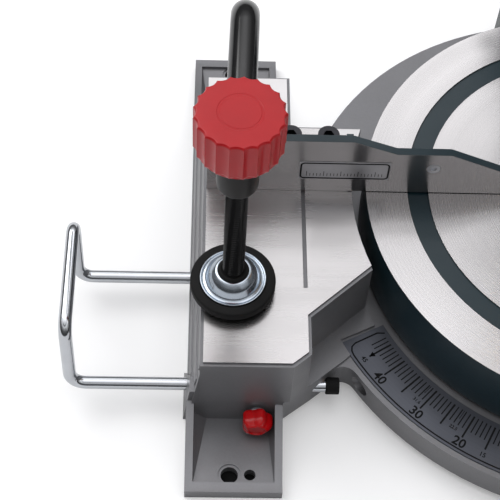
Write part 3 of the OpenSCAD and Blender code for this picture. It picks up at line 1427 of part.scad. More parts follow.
base_casting();
rubber_feet();
mitre_scale();
pivot_bolt();
pivot_nut();
fence_left();
fence_right();
fence_screws();
fence_plate();
turntable();
kerf_plate();
kerf_screws();
mitre_pointer();
bevel_scale();
bevel_pivot_bolt();
bevel_lock_stud();
lock_shoe();
mitre_lock_knob();
mitre_lock_rod();
detent_lever();
clamp_collar();
clamp_arm();
clamp_spindle();
clamp_knob();
clamp_dome();
clamp_pad();
clamp_post_screw();
extension_wire_left();
extension_wire_right();
wire_caps_left();
wire_caps_right();
thumbscrew_left();
thumbscrew_right();
tilt_bracket();
bevel_pointer();
bevel_lock_lever();
chop_axle();
chop_spring();
upper_guard();
gear_cover();
motor_housing();
motor_cap();
motor_stator();
handle_left();
handle_right();
head_screws();
dust_port();
cable_gland();
trigger();
lock_off_button();
arbor_lock();
lock_pin();
lower_guard();
saw_blade();
blade_flanges();
arbor_bolt();
spindle();
driven_gear();
armature();
motor_fan();
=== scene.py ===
import json
import math

import bmesh
import bpy
from bpy.props import FloatProperty, FloatVectorProperty, IntProperty, PointerProperty
from mathutils import Matrix, Vector


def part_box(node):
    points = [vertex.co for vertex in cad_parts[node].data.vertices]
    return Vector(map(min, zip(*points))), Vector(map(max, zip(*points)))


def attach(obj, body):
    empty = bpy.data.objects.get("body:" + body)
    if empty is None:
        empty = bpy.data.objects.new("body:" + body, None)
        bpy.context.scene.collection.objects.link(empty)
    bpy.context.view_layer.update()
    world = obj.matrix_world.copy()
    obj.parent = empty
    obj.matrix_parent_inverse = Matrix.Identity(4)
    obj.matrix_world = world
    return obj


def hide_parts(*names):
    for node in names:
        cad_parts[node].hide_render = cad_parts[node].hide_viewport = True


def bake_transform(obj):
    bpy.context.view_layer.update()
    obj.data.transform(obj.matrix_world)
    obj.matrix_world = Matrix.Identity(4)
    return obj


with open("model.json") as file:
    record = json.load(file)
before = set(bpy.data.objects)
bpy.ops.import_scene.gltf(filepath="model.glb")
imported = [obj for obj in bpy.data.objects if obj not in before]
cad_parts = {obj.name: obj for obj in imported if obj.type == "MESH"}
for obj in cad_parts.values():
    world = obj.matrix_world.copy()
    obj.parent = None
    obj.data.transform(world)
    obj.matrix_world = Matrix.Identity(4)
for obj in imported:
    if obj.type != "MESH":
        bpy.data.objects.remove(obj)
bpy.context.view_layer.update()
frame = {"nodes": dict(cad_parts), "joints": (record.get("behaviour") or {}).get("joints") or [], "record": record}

bl_info = {
    "name": "Mitre saw finish",
    "version": (1, 0, 0),
    "blender": (4, 5, 0),
    "location": "3D Viewport > Sidebar > Mitre saw",
    "description": "Builds the finished surfaces of a compound mitre saw round its packed parts",
    "category": "Object",
}

NODES = frame["nodes"]
BODIES = frame["record"]["behaviour"]["bodies"]
BODY = {node: body for body, nodes in BODIES.items() for node in nodes}
# Lengths are in metres. Angles are in degrees where they aren't made with math.radians.
MM = 0.001
WHOLE_TURN = 2 * math.pi


def joint_at(name):
    """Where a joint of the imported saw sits."""
    return Vector(next(joint["pos_m"] for joint in frame["joints"] if joint["name"] == name))


def half_width(node):
    """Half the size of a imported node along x."""
    low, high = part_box(node)
    return (high.x - low.x) / 2


TABLE_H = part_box("kerf_plate")[1].z
TABLE_AT = Vector((0, 0, 0))
BLADE_AT = joint_at("blade_spin")
CHOP_AT = joint_at("chop")
SPINDLE_AT = joint_at("clamp_screw")
POST_AT = joint_at("clamp_swing")
CHOP_REST = math.radians(-38)


def measure(name, note, value, low, high):
    """A length property, from values in millimetres."""
    return FloatProperty(
        name=name, description=note, default=value * MM, min=low * MM, max=high * MM, unit="LENGTH")


class SawSizes(bpy.types.PropertyGroup):
    """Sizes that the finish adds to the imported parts"""
    edge: measure("Edge", "Radius on the edges of castings", 0.7, 0.1, 2)
    fine_edge: measure("Fine edge", "Radius on the edges of small pieces", 0.35, 0.05, 1)
    wire: measure("Wire", "Diameter of the extension wire", 7.5, 5, 9)
    clamp_bar: measure("Clamp bar", "Diameter of the clamp post and arm", 16, 12, 18)
    thread_pitch: measure("Thread pitch", "Pitch of the clamp spindle", 1.75, 1, 3)
    knob_flutes: IntProperty(
        name="Flutes", description="Flutes round the clamp knob", default=21, min=12, max=30)
    knob_groove: measure("Flute depth", "Depth of a flute of the clamp knob", 1.25, 0.5, 2)
    numeral: measure("Numerals", "Height of the large numerals on the scale", 5.8, 3, 7)


def tint(name, note, value):
    """A colour property, as it looks on screen."""
    return FloatVectorProperty(
        name=name, description=note, default=value, size=3, min=0, max=1, subtype="COLOR_GAMMA")


class SawColours(bpy.types.PropertyGroup):
    """Colours of the paints, plastics and bare metals"""
    cast_grey: tint("Cast grey", "Paint of the base", (0.47, 0.47, 0.48))
    teal: tint("Dark green", "Paint of the turntable, fence and bracket", (0.075, 0.16, 0.19))
    head_grey: tint("Head grey", "Paint of the saw head", (0.62, 0.63, 0.65))
    bare: tint("Bare metal", "Machined faces", (0.86, 0.85, 0.85))
    red: tint("Red", "Knobs and buttons", (0.68, 0.05, 0.085))
    bright_red: tint("Bright red", "Hand screws", (0.76, 0.02, 0.05))
    black: tint("Black", "Moulded black plastic", (0.085, 0.085, 0.09))
    rubber: tint("Rubber", "Pads and caps", (0.045, 0.044, 0.045))
    plate: tint("Plate", "Printed scale plates", (0.33, 0.34, 0.37))
    ink: tint("Ink", "Printed marks", (0.03, 0.03, 0.035))
    clear: tint("Clear guard", "Moulded lower guard", (0.85, 0.72, 0.45))
    copper: tint("Copper", "Windings", (0.55, 0.28, 0.13))


class StageLook(bpy.types.PropertyGroup):
    """Floor and lamps of the picture"""
    floor: tint("Floor", "Colour of the floor", (0.92, 0.92, 0.92))
    glow: FloatProperty(
        name="Floor glow", description="Light that the floor adds for the camera alone",
        default=0.22, min=0, max=1, subtype="FACTOR")
    key: FloatProperty(
        name="Key lamp", description="Power of the main lamp", default=13, min=0, unit="POWER")


def sizes():
    """The sizes that the user may change."""
    return bpy.context.scene.saw_sizes


def linear(colour):
    """A colour as written on screen, as light."""
    return tuple(c / 12.92 if c <= 0.04045 else ((c + 0.055) / 1.055) ** 2.4 for c in colour)


def colour_of(name):
    """One of the user's colours, as light."""
    return linear(getattr(bpy.context.scene.saw_colours, name))


def shade(colour, factor):
    """A colour made darker or lighter."""
    return tuple(min(1, c * factor) for c in colour)


class Flow:
    """The output of a node, with arithmetic that adds Math nodes."""

    def __init__(self, sheet, socket):
        self.sheet = sheet
        self.socket = socket

    def worked(self, operation, *values, clamp=False):
        """The result of a Math node on some values."""
        settings = {"operation": operation, "use_clamp": clamp}
        return self.sheet.node("ShaderNodeMath", settings, dict(enumerate(values)))

    def __add__(self, other):
        return self.worked("ADD", self, other)

    def __sub__(self, other):
        return self.worked("SUBTRACT", self, other)

    def __rsub__(self, other):
        return self.worked("SUBTRACT", other, self)

    def __mul__(self, other):
        return self.worked("MULTIPLY", self, other)

    def __pow__(self, other):
        return self.worked("POWER", self, other)

    def __rpow__(self, other):
        return self.worked("POWER", other, self)

    def __abs__(self):
        return self.worked("ABSOLUTE", self)

    __radd__ = __add__
    __rmul__ = __mul__

    def sine(self):
        return self.worked("SINE", self)

    def bearing(self, other):
        """Angle of the point that this value and another one give."""
        return self.worked("ARCTAN2", self, other)

    def near(self, value, reach):
        """1 where this value is within reach of another, and 0 elsewhere."""
        return self.worked("COMPARE", self, value, reach)

    def clipped(self):
        """This value, held between 0 and 1."""
        return self.worked("ADD", self, 0, clamp=True)


class Sheet:
    """The nodes of one material or world, joined through Flow values."""

    def __init__(self, tree):
        self.tree = tree

    def node(self, kind, settings, values, output=0):
        """Adds a node, sets it up, fills its sockets and returns one output."""
        made = self.tree.nodes.new(kind)
        for key, value in settings.items():
            if key == "stops":
                self.set_stops(made.color_ramp.elements, value)
            else:
                setattr(made, key, value)
        for socket, value in values.items():
            if isinstance(value, Flow):
                self.tree.links.new(value.socket, made.inputs[socket])
            else:
                made.inputs[socket].default_value = value
        return Flow(self, made.outputs[output]) if len(made.outputs) else None

    def set_stops(self, ramp, stops):
        """Sets up a colour ramp from rows of position and colour."""
        while len(ramp) < len(stops):
            ramp.new(0.5)
        for stop, (at, colour) in zip(ramp, stops):
            stop.position = at
            stop.color = (*colour, 1)

    def parts(self, vector):
        """The x, y and z of a vector."""
        split = self.node("ShaderNodeSeparateXYZ", {}, {0: vector})
        return [Flow(self, out) for out in split.socket.node.outputs]

    def camera_ray(self):
        """1 for what the camera sees itself, and 0 for reflections and light."""
        return self.node("ShaderNodeLightPath", {}, {}, "Is Camera Ray")

    def blend(self, mask, first, second):
        """The first colour where the mask is 0 and the second where it is 1."""
        a, b = ((*c, 1) if isinstance(c, tuple) else c for c in (first, second))
        return self.node("ShaderNodeMix", {"data_type": "RGBA"}, {0: mask, 6: a, 7: b}, 2)


class Finish(Sheet):
    """A procedural material on a Principled shader, laid out in the object's own space."""

    def __init__(self, name, **fixed):
        self.material = bpy.data.materials.new(name)
        self.material.use_nodes = True
        super().__init__(self.material.node_tree)
        self.shader = self.tree.nodes["Principled BSDF"]
        for socket, value in fixed.items():
            self.shader.inputs[socket.replace("_", " ")].default_value = value
        self.where = self.node("ShaderNodeTexCoord", {}, {}, "Object")

    def feed(self, socket, value):
        """Links a value to a socket of the shader."""
        self.tree.links.new(value.socket, self.shader.inputs[socket])
        return self

    def stretched(self, x, y, z):
        """The place on the object, scaled along each axis."""
        values = {0: self.where, 1: (x, y, z)}
        return self.node("ShaderNodeVectorMath", {"operation": "MULTIPLY"}, values)

    def noise(self, scale, detail=2, roughness=0.5, at=None):
        """Noise over the object, or over another vector."""
        values = {
            "Vector": at or self.where, "Scale": scale, "Detail": detail, "Roughness": roughness}
        return self.node("ShaderNodeTexNoise", {}, values, "Fac")

    def noise_of(self, value, scale, detail=2):
        """Noise along one value, such as the distance from an axis."""
        values = {"W": value, "Scale": scale, "Detail": detail}
        return self.node("ShaderNodeTexNoise", {"noise_dimensions": "1D"}, values, "Fac")

    def polar(self, centre, axis):
        """Distance from an axis, and the angle round it."""
        spot = self.parts(self.where)
        first, second = (spot[i] - centre[i] for i in {"X": (1, 2), "Z": (0, 1)}[axis])
        return (first * first + second * second) ** 0.5, first.bearing(second)

    def tinted(self, mask, colour, dark, light):
        """Colours the surface from a darker to a lighter shade of one colour."""
        return self.feed("Base Color", self.blend(mask, shade(colour, dark), shade(colour, light)))

    def bump(self, height, strength, depth):
        """Lets a height tilt the surface's shading."""
        values = {"Height": height, "Strength": strength, "Distance": depth}
        return self.feed("Normal", self.node("ShaderNodeBump", {}, values))


def cast_paint(name, colour, rough=0.42, metal=0.0, skin=0.3):
    """Satin paint over a sand casting, with a pebbled skin."""
    made = Finish(name, Roughness=rough, Metallic=metal)
    patches = made.noise(26, 4, 0.6)
    grain = made.noise(900, 3, 0.6)
    made.tinted((patches * 0.55 + grain * 0.45).clipped(), colour, 0.82, 1.2)
    made.feed("Roughness", made.noise(60, 3) * 0.24 + (rough - 0.12))
    return made.bump(made.noise(1500, 2) + made.noise(420, 2) * 0.8, skin, 0.16 * MM)


def machined(name, colour, rough=0.27):
    """Milled metal: fine lines along X and soft bands across them."""
    made = Finish(name, Metallic=1.0, Roughness=rough)
    lines = made.noise(1, 4, 0.6, made.stretched(8, 1100, 8))
    bands = made.noise(1, 3, 0.6, made.stretched(5, 34, 5))
    clouds = made.noise(16, 3)
    made.tinted((bands * 0.55 + clouds * 0.5 + lines * 0.12 - 0.12).clipped(), colour, 0.62, 1.12)
    made.feed("Roughness", lines * 0.08 + bands * 0.14 + clouds * 0.12 + (rough - 0.15))
    return made.bump(lines + clouds * 2, 0.09, 0.03 * MM)


def turned(name, colour, centre, axis, rough=0.25, sheen_strength=0.16):
    """Turned metal: fine rings round an axis, and a painted reflection of soft bright and dark wedges across them.
    """
    made = Finish(name, Metallic=1.0, Roughness=rough)
    radius, angle = made.polar(centre, axis)
    rings = made.noise_of(radius, 1700, 4)
    broad = made.noise_of(radius, 60, 2)
    # The sine waves round the axis paint bright and dark wedges into the colour, a painted reflection of the
    # turning.
    painted_sheen = ((angle * 2 + broad * 1.5).sine() + (angle * 5 + 1).sine() * 0.35) * sheen_strength
    made.tinted((painted_sheen + rings * 0.3 + broad * 0.25 + 0.3).clipped(), colour, 0.6, 1.15)
    made.feed("Roughness", rings * 0.1 + made.noise(14, 3) * 0.12 + (rough - 0.1))
    return made.bump(rings, 0.09, 0.03 * MM)


def plated(name, colour, rough=0.12, spots=0.1):
    """Bright plating with faint ripples in it."""
    made = Finish(name, Metallic=1.0, Roughness=rough)
    ripple = made.noise(70, 3)
    made.tinted(ripple, colour, 0.86, 1.05)
    made.feed("Roughness", made.noise(240, 3) * spots * 2 + (rough - spots / 2))
    return made.bump(ripple + made.noise(700, 2) * 0.12, 0.12, 0.3 * MM)


def plastic(name, colour, rough=0.34, texture=0.18, coat=0.0, shine=0.4):
    """Moulded plastic, a little paler where it is handled."""
    made = Finish(
        name, Roughness=rough, Coat_Weight=coat, Coat_Roughness=0.08, Specular_IOR_Level=shine)
    made.tinted(made.noise(45, 4, 0.65), colour, 0.84, 1.16)
    made.feed("Roughness", made.noise(120, 3) * 0.2 + (rough - 0.1))
    return made.bump(made.noise(2200, 2) + made.noise(300, 2) * 0.4, texture, 0.06 * MM)


def soft_rubber(name, colour):
    """Dull rubber with a little dust on it."""
    made = Finish(name, Roughness=0.72, Specular_IOR_Level=0.25)
    dust = made.noise(80, 4, 0.7)
    made.tinted((dust * 1.4 - 0.2).clipped(), colour, 0.8, 1.7)
    made.feed("Roughness", dust * 0.2 + 0.62)
    return made.bump(made.noise(1400, 3), 0.3, 0.08 * MM)


def scale_plate(name, colour):
    """Metal plate turned in fine rings round the turntable's axis, under print."""
    made = Finish(name, Metallic=0.65, Roughness=0.36)
    radius = made.polar(TABLE_AT, "Z")[0]
    lines = made.noise_of(radius, 1400, 3)
    clouds = made.noise(30, 3)
    made.tinted((lines * 0.35 + clouds * 0.6).clipped(), colour, 0.7, 1.25)
    made.feed("Roughness", lines * 0.12 + 0.28)
    return made.bump(lines, 0.12, 0.03 * MM)


def clear_guard(name, colour):
    """Clear moulding with light scratches."""
    made = Finish(name, Roughness=0.08, Transmission_Weight=0.9, IOR=1.49)
    scratches = made.noise(1, 4, 0.8, made.stretched(200, 30, 900))
    made.tinted(made.noise(20, 2), colour, 0.92, 1.08)
    made.feed("Roughness", (scratches - 0.45).clipped() * 0.5 + 0.05)
    return made.bump(scratches, 0.05, 0.05 * MM)


def wound(name, colour):
    """Varnished windings between thin laminations, across the motor."""
    made = Finish(name, Metallic=0.6, Roughness=0.4)
    sheets = (made.parts(made.where)[0] * 6000).sine() * 0.5 + 0.5
    made.tinted(sheets, colour, 0.6, 1.2)
    made.feed("Roughness", made.noise(300, 2) * 0.3 + 0.25)
    return made.bump(sheets, 0.4, 0.1 * MM)


def paint(colour, rough, brighter=1, **more):
    """Cast paint in a named colour."""
    return lambda name: cast_paint(name, shade(colour_of(colour), brighter), rough, **more)


def metal(colour, rough, spots):
    """Plating in a colour that is given as light."""
    return lambda name: plated(name, colour, rough, spots)


def moulding(colour, rough, texture, **more):
    """Plastic in a named colour, or in one that is given as light."""
    def make(name):
        light = colour_of(colour) if isinstance(colour, str) else colour
        return plastic(name, light, rough, texture, **more)
    return make


FINISHES = {
    "cast_grey": paint("cast_grey", 0.34, metal=0.45, skin=0.14),
    # Base paint at twice its brightness for the rounded edges: a painted highlight along them.
    "cast_edge": paint("cast_grey", 0.3, brighter=2, metal=0.45, skin=0.1),
    "teal_paint": paint("teal", 0.36),
    "head_grey": paint("head_grey", 0.38),
    "milled": lambda name: machined(name, colour_of("bare")),
    # The fence's milled face is the bare metal made darker, as painted shade on the upright face.
    "fence_face": lambda name: machined(name, shade(colour_of("bare"), 0.74), 0.2),
    "turned_table": lambda name: turned(name, colour_of("bare"), TABLE_AT, "Z"),
    "turned_blade": lambda name: turned(
        name, shade(colour_of("bare"), 0.9), BLADE_AT, "X", 0.22, 0.1),
    "chrome": metal((0.60, 0.62, 0.65), 0.1, 0.05),
    "zinc": metal((0.62, 0.63, 0.66), 0.3, 0.16),
    "cup": metal((0.46, 0.51, 0.57), 0.17, 0.06),
    "label_plate": metal((0.5, 0.5, 0.52), 0.42, 0.1),
    "gear_steel": metal((0.42, 0.41, 0.38), 0.36, 0.14),
    "carbide": metal((0.34, 0.34, 0.36), 0.28, 0.1),
    "black_screw": metal((0.05, 0.05, 0.055), 0.34, 0.16),
    "red": moulding("red", 0.32, 0.1),
    "gloss_red": moulding("bright_red", 0.2, 0.05, coat=0.25),
    "black": moulding("black", 0.42, 0.4, shine=0.3),
    "gloss_black": moulding((0.004, 0.004, 0.0045), 0.16, 0.03, coat=0.1, shine=0.45),
    "dull_black": moulding((0.008, 0.007, 0.007), 0.42, 0.1, shine=0.25),
    "ink": moulding("ink", 0.6, 0.05, shine=0.15),
    "rubber": lambda name: soft_rubber(name, colour_of("rubber")),
    "plate": lambda name: scale_plate(name, colour_of("plate")),
    "clear": lambda name: clear_guard(name, colour_of("clear")),
    "winding": lambda name: wound(name, colour_of("copper")),
}
MADE = {}


def finish(name):
    """The material of that name, made on first use."""
    if name not in MADE:
        MADE[name] = FINISHES[name](name).material
    return MADE[name]


def settle(mesh, name, node, finishes, replaces=False, rides=True):
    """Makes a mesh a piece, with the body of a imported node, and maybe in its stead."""
    piece = bpy.data.objects.new(name, mesh)
    bpy.context.scene.collection.objects.link(piece)
    for each in finishes:
        mesh.materials.append(finish(each))
    if rides:
        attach(piece, BODY[node])
    if replaces:
        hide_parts(node)
    return piece


def coated(look, *nodes):
    """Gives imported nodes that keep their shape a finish."""
    for node in nodes:
        for slot in NODES[node].material_slots:
            slot.material = finish(look)


EDGE_ANGLE = 32
SAME_CORNER = 0.004 * MM
FLAT_ENOUGH = 0.6
LONG_EDGE = 3 * MM
GROUND_GAP = 1 * MM


def smooth(mesh, angle=EDGE_ANGLE):
    """Shades a mesh smooth, but for the edges that turn by more than an angle."""
    for face in mesh.polygons:
        face.use_smooth = True
    mesh.set_sharp_from_angle(angle=math.radians(angle))


def soften(piece, width, segments=2):
    """Rounds the edges of a piece."""
    bevel = piece.modifiers.new("edges", "BEVEL")
    bevel.width = width
    bevel.segments = segments
    bevel.limit_method = "ANGLE"
    bevel.angle_limit = math.radians(EDGE_ANGLE)
    bevel.use_clamp_overlap = True
    return bevel


def mark_long_edges(work):
    """Weights the sharp edges that are long and clear of the ground, for a rim."""
    weight = work.edges.layers.float.new("bevel_weight_edge")
    limit = math.radians(EDGE_ANGLE)
    for edge in work.edges:
        sharp = len(edge.link_faces) == 2 and edge.calc_face_angle(0) > limit
        raised = min(corner.co.z for corner in edge.verts) > GROUND_GAP
        edge[weight] = float(sharp and raised and edge.calc_length() > LONG_EDGE)


def dressed(node, look, edge=None, segments=2, faces=None, other=None, rim=None, merge=SAME_CORNER):
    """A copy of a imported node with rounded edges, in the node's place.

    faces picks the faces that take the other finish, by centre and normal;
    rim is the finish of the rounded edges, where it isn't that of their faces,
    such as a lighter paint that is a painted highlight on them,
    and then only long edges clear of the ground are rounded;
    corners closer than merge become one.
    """
    mesh = bpy.data.meshes.new(node + "_skin")
    work = bmesh.new()
    work.from_mesh(NODES[node].data)
    bmesh.ops.remove_doubles(work, verts=work.verts, dist=merge)
    bmesh.ops.dissolve_limit(work, angle_limit=math.radians(FLAT_ENOUGH),
        verts=work.verts, edges=work.edges, delimit={"NORMAL"})
    if faces:
        for face in work.faces:
            face.normal_update()
            face.material_index = int(faces(face.calc_center_median(), face.normal))
    if rim:
        mark_long_edges(work)
    work.to_mesh(mesh)
    work.free()
    packed_normals = mesh.attributes.get("custom_normal")
    if packed_normals:
        mesh.attributes.remove(packed_normals)
    smooth(mesh)
    looks = [each for each in (look, other, rim) if each]
    piece = settle(mesh, node + "_skin", node, looks, replaces=True)
    if edge:
        bevel = soften(piece, edge, segments)
        if rim:
            bevel.material = looks.index(rim)
            bevel.limit_method = "WEIGHT"
    return piece


def dressed_all(*rows):
    """Dresses one node for each row of node, finish, edge radius and segments."""
    for row in rows:
        dressed(*row)


LEVEL_REACH = 0.15 * MM
LEVEL_FLAT = 0.999
WELD = 0.001 * MM
ROUND_ANGLE = 40


def level_top(level):
    """Picks the faces that lie flat at a height."""
    return lambda centre, normal: abs(centre.z - level) < LEVEL_REACH and normal.z > LEVEL_FLAT


def front_of(depth):
    """Picks the faces that look forward from a depth."""
    return lambda centre, normal: abs(centre.y - depth) < LEVEL_REACH and normal.y < -LEVEL_FLAT


def ahead_of(depth):
    """Picks the faces in front of a depth."""
    return lambda centre, normal: centre.y < depth


def from_rings(name, rings):
    """A closed mesh from rings of points, each ring joined to the next."""
    count = len(rings[0])
    faces = []
    for i in range(len(rings) - 1):
        for j in range(count):
            k = (j + 1) % count
            faces.append((i * count + j, i * count + k, (i + 1) * count + k, (i + 1) * count + j))
    faces.append(tuple(range(count))[::-1])
    faces.append(tuple((len(rings) - 1) * count + j for j in range(count)))
    mesh = bpy.data.meshes.new(name)
    mesh.from_pydata([point for ring in rings for point in ring], [], faces)
    mesh.validate()
    work = bmesh.new()
    work.from_mesh(mesh)
    bmesh.ops.remove_doubles(work, verts=work.verts, dist=WELD)
    bmesh.ops.recalc_face_normals(work, faces=work.faces)
    work.to_mesh(mesh)
    work.free()
    return mesh


def frame_on(at, axis, side):
    """Matrix whose Z runs along an axis from a point, with its X towards a side."""
    z = Vector(axis).normalized()
    y = z.cross(Vector(side)).normalized()
    x = y.cross(z)
    return Matrix.Translation(at) @ Matrix((x, y, z)).transposed().to_4x4()


ARC_STEPS = 4
ARC_SHARE = 0.49


def rounded(corners):
    """A profile of (radius, height, rounding) corners, with an arc at each rounded one."""
    out = []
    for i, corner in enumerate(corners):
        here = Vector(corner[:2])
        size = corner[2] if len(corner) > 2 else 0
        if not size or i in (0, len(corners) - 1):
            out.append(here)
            continue
        before = Vector(corners[i - 1][:2]) - here
        after = Vector(corners[i + 1][:2]) - here
        reach = min(size, before.length * ARC_SHARE, after.length * ARC_SHARE)
        start = here + before.normalized() * reach
        end = here + after.normalized() * reach
        for k in range(ARC_STEPS + 1):
            t = k / ARC_STEPS
            out.append(start * (1 - t) ** 2 + here * 2 * t * (1 - t) + end * t ** 2)
    return out


def lathe(name, corners, at, node, look, replaces=False, steps=64, shape=None, sharp=ROUND_ANGLE):
    """A turned piece; shape changes the radius by angle, height and radius."""
    rings = []
    for radius, height in rounded(corners):
        ring = []
        for j in range(steps):
            angle = WHOLE_TURN * j / steps
            reach = radius + (shape(angle, height, radius) if shape else 0)
            ring.append(at @ Vector((reach * math.cos(angle), reach * math.sin(angle), height)))
        rings.append(ring)
    mesh = from_rings(name, rings)
    smooth(mesh, sharp)
    return settle(mesh, name, node, [look], replaces)


def bent(points, radius, steps=14):
    """A path whose inner corners are arcs."""
    path = [Vector(points[0])]
    for i in range(1, len(points) - 1):
        here = Vector(points[i])
        before = (Vector(points[i - 1]) - here).normalized()
        after = (Vector(points[i + 1]) - here).normalized()
        half = before.angle(after) / 2
        trim = radius / math.tan(half)
        centre = here + (before + after).normalized() * (radius / math.sin(half))
        start = here + before * trim - centre
        end = here + after * trim - centre
        axis = start.cross(end)
        total = start.angle(end)
        for k in range(steps + 1):
            path.append(centre + Matrix.Rotation(total * k / steps, 3, axis) @ start)
    path.append(Vector(points[-1]))
    return path


def swept(name, path, radius, sides, node, look, rides=True):
    """A round bar along a path, without twist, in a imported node's stead."""
    angles = [WHOLE_TURN * j / sides for j in range(sides)]
    tangents = []
    for before, after in zip(path[:1] + path[:-1], path[1:] + path[-1:]):
        tangents.append((after - before).normalized())
    normal = tangents[0].orthogonal().normalized()
    rings = []
    for i, point in enumerate(path):
        if i:
            turn = tangents[i - 1].rotation_difference(tangents[i])
            normal = (turn @ normal).normalized()
        along_x = normal * radius
        along_y = tangents[i].cross(normal) * radius
        rings.append([point + along_x * math.cos(a) + along_y * math.sin(a) for a in angles])
    mesh = from_rings(name, rings)
    smooth(mesh, ROUND_ANGLE)
    return settle(mesh, name, node, [look], replaces=True, rides=rides)


FACING_FRONT = Matrix(((1, 0, 0, 0), (0, 0, -1, 0), (0, 1, 0, 0), (0, 0, 0, 1)))
FONT_SIZE = 1.38
FONT_WEIGHT = 0.03
INK_THICKNESS = 0.05 * MM


class Patches:
    """Flat shapes of one thickness, such as printed marks, gathered into one mesh."""

    def __init__(self, thickness=INK_THICKNESS):
        self.work = bmesh.new()
        self.thickness = thickness

    def patch(self, at, outline):
        """A filled outline on the local x-y plane."""
        ground = [self.work.verts.new(at @ Vector((x, y, 0))) for x, y in outline]
        top = [self.work.verts.new(at @ Vector((x, y, self.thickness))) for x, y in outline]
        self.work.faces.new(top)
        self.work.faces.new(ground[::-1])
        for i in range(len(outline)):
            j = (i + 1) % len(outline)
            self.work.faces.new((ground[i], ground[j], top[j], top[i]))

    def bar(self, at, width, length):
        """A stroke along the local y axis from its origin."""
        half = width / 2
        self.patch(at, ((-half, 0), (half, 0), (half, length), (-half, length)))

    def arrow(self, at, width, length):
        """A filled arrow tip along the local y axis."""
        self.patch(at, ((-width / 2, 0), (width / 2, 0), (0, length)))

    def ribbon(self, points, width, up=Vector((0, 0, 1)), closed=False):
        """A line of even width through points."""
        count = len(points)
        lift = up * self.thickness
        rows = []
        for i, p in enumerate(points):
            after = points[(i + 1) % count] if closed or i < count - 1 else p
            before = points[i - 1] if closed or i else p
            across = up.cross(after - before).normalized() * width / 2
            corners = (p + across, p - across, p - across + lift, p + across + lift)
            rows.append([self.work.verts.new(corner) for corner in corners])
        for i in range(count if closed else count - 1):
            a, b = rows[i], rows[(i + 1) % count]
            for k in range(4):
                m = (k + 1) % 4
                self.work.faces.new((a[k], b[k], b[m], a[m]))
        if not closed:
            self.work.faces.new(rows[0][::-1])
            self.work.faces.new(rows[-1])

    def numeral(self, text, height, at):
        """A number, centred on the local origin."""
        curve = bpy.data.curves.new("numeral", "FONT")
        curve.body = text
        curve.size = height * FONT_SIZE
        curve.extrude = self.thickness / 2
        curve.align_x = "CENTER"
        curve.align_y = "CENTER"
        curve.offset = height * FONT_WEIGHT
        curve.resolution_u = 3
        holder = bpy.data.objects.new("numeral", curve)
        bpy.context.scene.collection.objects.link(holder)
        bpy.context.view_layer.update()
        depsgraph = bpy.context.evaluated_depsgraph_get()
        mesh = bpy.data.meshes.new_from_object(holder.evaluated_get(depsgraph))
        mesh.transform(at @ Matrix.Translation((0, 0, self.thickness / 2)))
        self.work.from_mesh(mesh)
        bpy.data.objects.remove(holder)
        bpy.data.meshes.remove(mesh)

    def done(self, name, node, look):
        """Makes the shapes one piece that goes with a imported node."""
        mesh = bpy.data.meshes.new(name)
        bmesh.ops.recalc_face_normals(self.work, faces=self.work.faces)
        self.work.to_mesh(mesh)
        self.work.free()
        return settle(mesh, name, node, [look])


BLOCK_X = 237.5 * MM
BLOCK_FRONT = 116.5 * MM
BLOCK_REAR = 86 * MM
WALL_TOP = TABLE_H - 1.4 * MM
WALL_DRAFT = 9.5 * MM
WALL_FOOT = BLOCK_X + WALL_DRAFT
# Low edge, high edge and how far the ridge stands proud.
RIDGES = ((54 * MM, 63 * MM, 0.9 * MM), (36 * MM, 45 * MM, 0.8 * MM), (14 * MM, 24 * MM, 0.8 * MM))
FOOT_TOP = 6 * MM
FOOT_FRONT = -165.5 * MM
FOOT_REAR = 155 * MM
FOOT_RIB = 4.5 * MM
FOOT_W = 55.5 * MM
# Name, the rib's distance from the middle and the fillet's reach from it.
FILLETS = (
    ("out", WALL_FOOT - FOOT_RIB, -8 * MM),
    ("in", WALL_FOOT - FOOT_W + FOOT_RIB, 4.5 * MM))
FILLET_H = 8 * MM
FILLET_TIP_H = 1.4 * MM
FILLET_ANGLE = 20


def side_wall(height):
    """Distance of the drafted side wall from the middle, at a height."""
    return BLOCK_X + WALL_DRAFT * (1 - height / WALL_TOP)


